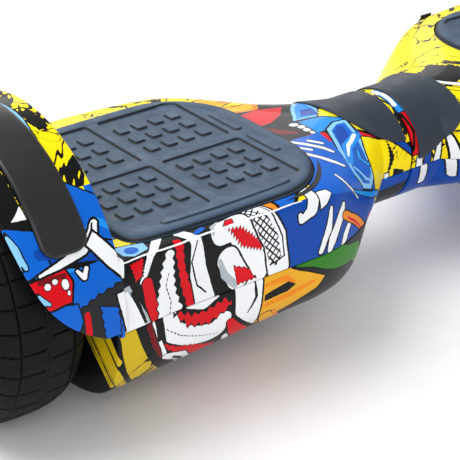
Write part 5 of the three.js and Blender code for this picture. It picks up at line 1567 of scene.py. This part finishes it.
def circuit_material(name):
    """Green board with paler tracks and pads."""
    def fill(graph, shader):
        place = own_place(graph)
        tracks = graph.node("ShaderNodeTexBrick", {
            "Vector": place, "Color1": linear(22, 92, 52), "Color2": linear(16, 74, 42),
            "Mortar": linear(60, 140, 84), "Scale": 90.0, "Mortar Size": 0.012}).outputs[0]
        patch = graph.noise(place, 300.0)[0]
        graph.feed_all(shader, {"Base Color": tracks, "Roughness": graph.span(patch, 0.3, 0.7, 0.35, 0.5)})
        bump(graph, shader, graph.noise(place, 800.0)[0], 0.2, 0.0003)
    return material(name, fill)


print_top = {side: printed(f"printed_film_top_{side}", top_print(side == "right"))
             for side in ("left", "right")}
print_bottom = {side: printed(f"printed_film_bottom_{side}", bottom_print(side == "right"))
                for side in ("left", "right")}
print_fender = printed("printed_film_fender", fender_print)
shell_inside = moulded("shell_inside", (24, 25, 28), (17, 18, 20), 0.5)
seat_rubber = moulded("pad_seat_rubber", (40, 48, 60), (34, 41, 52), 0.55)
pad_rubber = pad_material("pad_rubber_slate")
strip_rubber = moulded("strip_rubber", (13, 15, 18), (9, 11, 13), 0.34, 500.0, 0.06,
                       wear=(20, 23, 28), gloss=0.5)
trim_plastic = moulded("trim_plastic_slate", (46, 55, 68), (38, 46, 58), 0.44, 600.0, 0.1,
                       wear=(56, 67, 82))
tyre_rubber = moulded("tyre_rubber", (14, 14, 16), (10, 10, 12), 0.6, 380.0, 0.3,
                      wear=(20, 20, 22), gloss=0.14)
rim_paint = moulded("rim_paint", (52, 54, 58), (42, 44, 48), 0.34, 300.0, 0.1, 0.6)
cap_silver = moulded("brushed_silver", (186, 190, 196), (160, 164, 170), 0.3, 500.0, 0.12, 0.8)
black_plastic = moulded("black_plastic", (30, 31, 33), (22, 23, 25), 0.48, 520.0, 0.25)
black_rubber = moulded("black_rubber", (34, 35, 37), (26, 27, 29), 0.7, 420.0, 0.3)
steel = moulded("turned_steel", (176, 178, 182), (150, 152, 156), 0.32, 260.0, 0.15, 1.0)
bright_steel = moulded("bearing_steel_polished", (200, 202, 206), (182, 184, 188), 0.22,
                       200.0, 0.08, 1.0)
aluminium = moulded("cast_aluminium", (150, 153, 156), (126, 129, 133), 0.5, 240.0, 0.5, 0.85)
bronze = moulded("sintered_bronze", (172, 134, 70), (148, 112, 56), 0.45, 900.0, 0.4, 0.9)
magnet = moulded("nickel_magnet", (120, 124, 128), (96, 99, 104), 0.35, 200.0, 0.1, 0.9)
battery_wrap = moulded("battery_wrap", (30, 82, 168), (22, 64, 138), 0.4, 160.0, 0.3, coat=0.4)
cable_jacket = moulded("cable_jacket", (110, 26, 24), (84, 18, 18), 0.55, 500.0, 0.3)
winding = winding_material("copper_winding")
circuit = circuit_material("circuit_board_green")


# ---- pieces, bodies and the nodes they stand for -------------------------------------------------

def place_piece(piece, body, node, slot, *materials):
    """Gives a piece its looks and its body, and hides the model's node that it stands for. The slot is not
    used.
    """
    for entry in materials:
        piece.data.materials.append(entry)
    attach(piece, body)
    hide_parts(node)


for side, top, bottom in (("right", top_right, bottom_right), ("left", top_left, bottom_left)):
    half = f"{side}_half"
    place_piece(top, half, f"top_shell_{side}", "printed_shell", print_top[side], print_fender, shell_inside,
                seat_rubber)
    place_piece(bottom, half, f"bottom_shell_{side}", "printed_shell", print_bottom[side], print_bottom[side],
                shell_inside)

for side, strip, trim, pad in (("right", strip_right, trim_right, pad_right),
                               ("left", strip_left, trim_left, pad_left)):
    place_piece(strip, f"{side}_half", f"bumper_strip_{side}", "black_rubber", strip_rubber)
    place_piece(trim, f"{side}_half", f"neck_trim_{side}", "trim_plastic", trim_plastic)
    place_piece(pad, f"pad_{side}", f"foot_pad_{side}", "pad_rubber", pad_rubber)

WHEEL_LOOKS = {"tyre": ("tyre", tyre_rubber), "rim": ("painted_rim", rim_paint),
               "motor_cover": ("painted_rim", rim_paint), "hub_cap": ("cap_silver", cap_silver)}
for side, pieces in (("right", wheels_right), ("left", wheels_left)):
    for kind, piece in pieces.items():
        slot, look = WHEEL_LOOKS[kind]
        place_piece(piece, f"wheel_{side}", f"{kind}_{side}", slot, look)

place_piece(port, "right_half", "charge_port", "black_plastic", black_plastic)
place_piece(cap, "cap", "charge_cap", "black_rubber", black_rubber)
place_piece(bezel, "right_half", "button_bezel", "black_plastic", black_plastic)
place_piece(button, "button", "power_button", "cap_silver", cap_silver)
for (number, side), piece in screws.items():
    place_piece(piece, f"{side}_half", f"belly_screw_{number}_{side}", "steel", steel)

NODE_LOOKS = {
    "chassis": aluminium, "axle_clamp": aluminium, "clamp_bolt": steel, "axle": steel, "pivot_tube": steel,
    "pivot_collar": steel, "pivot_bush": bronze, "bearing": bright_steel, "stator": winding,
    "magnet_ring": magnet, "sensor_board": circuit, "main_board": circuit, "board_tray": black_plastic,
    "battery_pack": battery_wrap, "wire_loom": cable_jacket, "cap_hinge": black_rubber,
}
for name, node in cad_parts.items():
    fitting = [key for key in NODE_LOOKS if name.startswith(key)]
    if fitting:
        look = NODE_LOOKS[max(fitting, key=len)]
        for slot in node.material_slots:
            slot.material = look


# ---- camera, floor and light ---------------------------------------------------------------------

# a close three-quarter view from the front left and above, as in the photograph
camera_data = bpy.data.cameras.new("camera")
camera = bpy.data.objects.new("camera", camera_data)
scene.collection.objects.link(camera)
camera.location = (-0.6571, -0.7167, 0.5211)
azimuth, elevation = math.radians(37.76), math.radians(29.27)
forward = Vector((math.sin(azimuth) * math.cos(elevation), math.cos(azimuth) * math.cos(elevation),
                  -math.sin(elevation)))
camera.rotation_euler = forward.to_track_quat("-Z", "Y").to_euler()
camera_data.sensor_width = 36
camera_data.lens = 127.6
camera_data.shift_x = -0.0452
camera_data.shift_y = 0.108
camera_data.clip_end = 50
scene.camera = camera

floor_mesh = bpy.data.meshes.new("floor")
floor_mesh.from_pydata([(-8, -8, 0), (8, -8, 0), (8, 8, 0), (-8, 8, 0)], [], [(0, 1, 2, 3)])
floor = link("floor", floor_mesh)
floor_paint = moulded("studio_floor", (250, 250, 250), (247, 247, 248), 0.7, 40.0, 0.02)
floor.data.materials.append(floor_paint)


def area_light(name, place, target, size, size_y, power):
    """A rectangular light at a place, aimed at a target, of some size in metres and power in watts."""
    data = bpy.data.lights.new(name, "AREA")
    data.shape = "RECTANGLE"
    data.size, data.size_y = size, size_y
    data.energy = power
    light = bpy.data.objects.new(name, data)
    light.location = place
    aim = Vector(target) - Vector(place)
    light.rotation_euler = aim.to_track_quat("-Z", "Y").to_euler()
    scene.collection.objects.link(light)


area_light("key", (-0.7, 0.5, 2.0), (-0.1, 0, 0.05), 1.6, 1.3, 26)
area_light("front", (-1.4, -1.6, 1.3), (-0.15, 0, 0.08), 1.6, 1.2, 13)
area_light("rim", (0.5, 1.7, 0.9), (-0.1, 0, 0.1), 1.8, 0.5, 7)
world = bpy.data.worlds.new("studio")
scene.world = world
world.use_nodes = True
world.node_tree.nodes["Background"].inputs[0].default_value = (1.0, 1.0, 1.0, 1.0)
world.node_tree.nodes["Background"].inputs[1].default_value = 0.68
scene.view_settings.view_transform = "Standard"
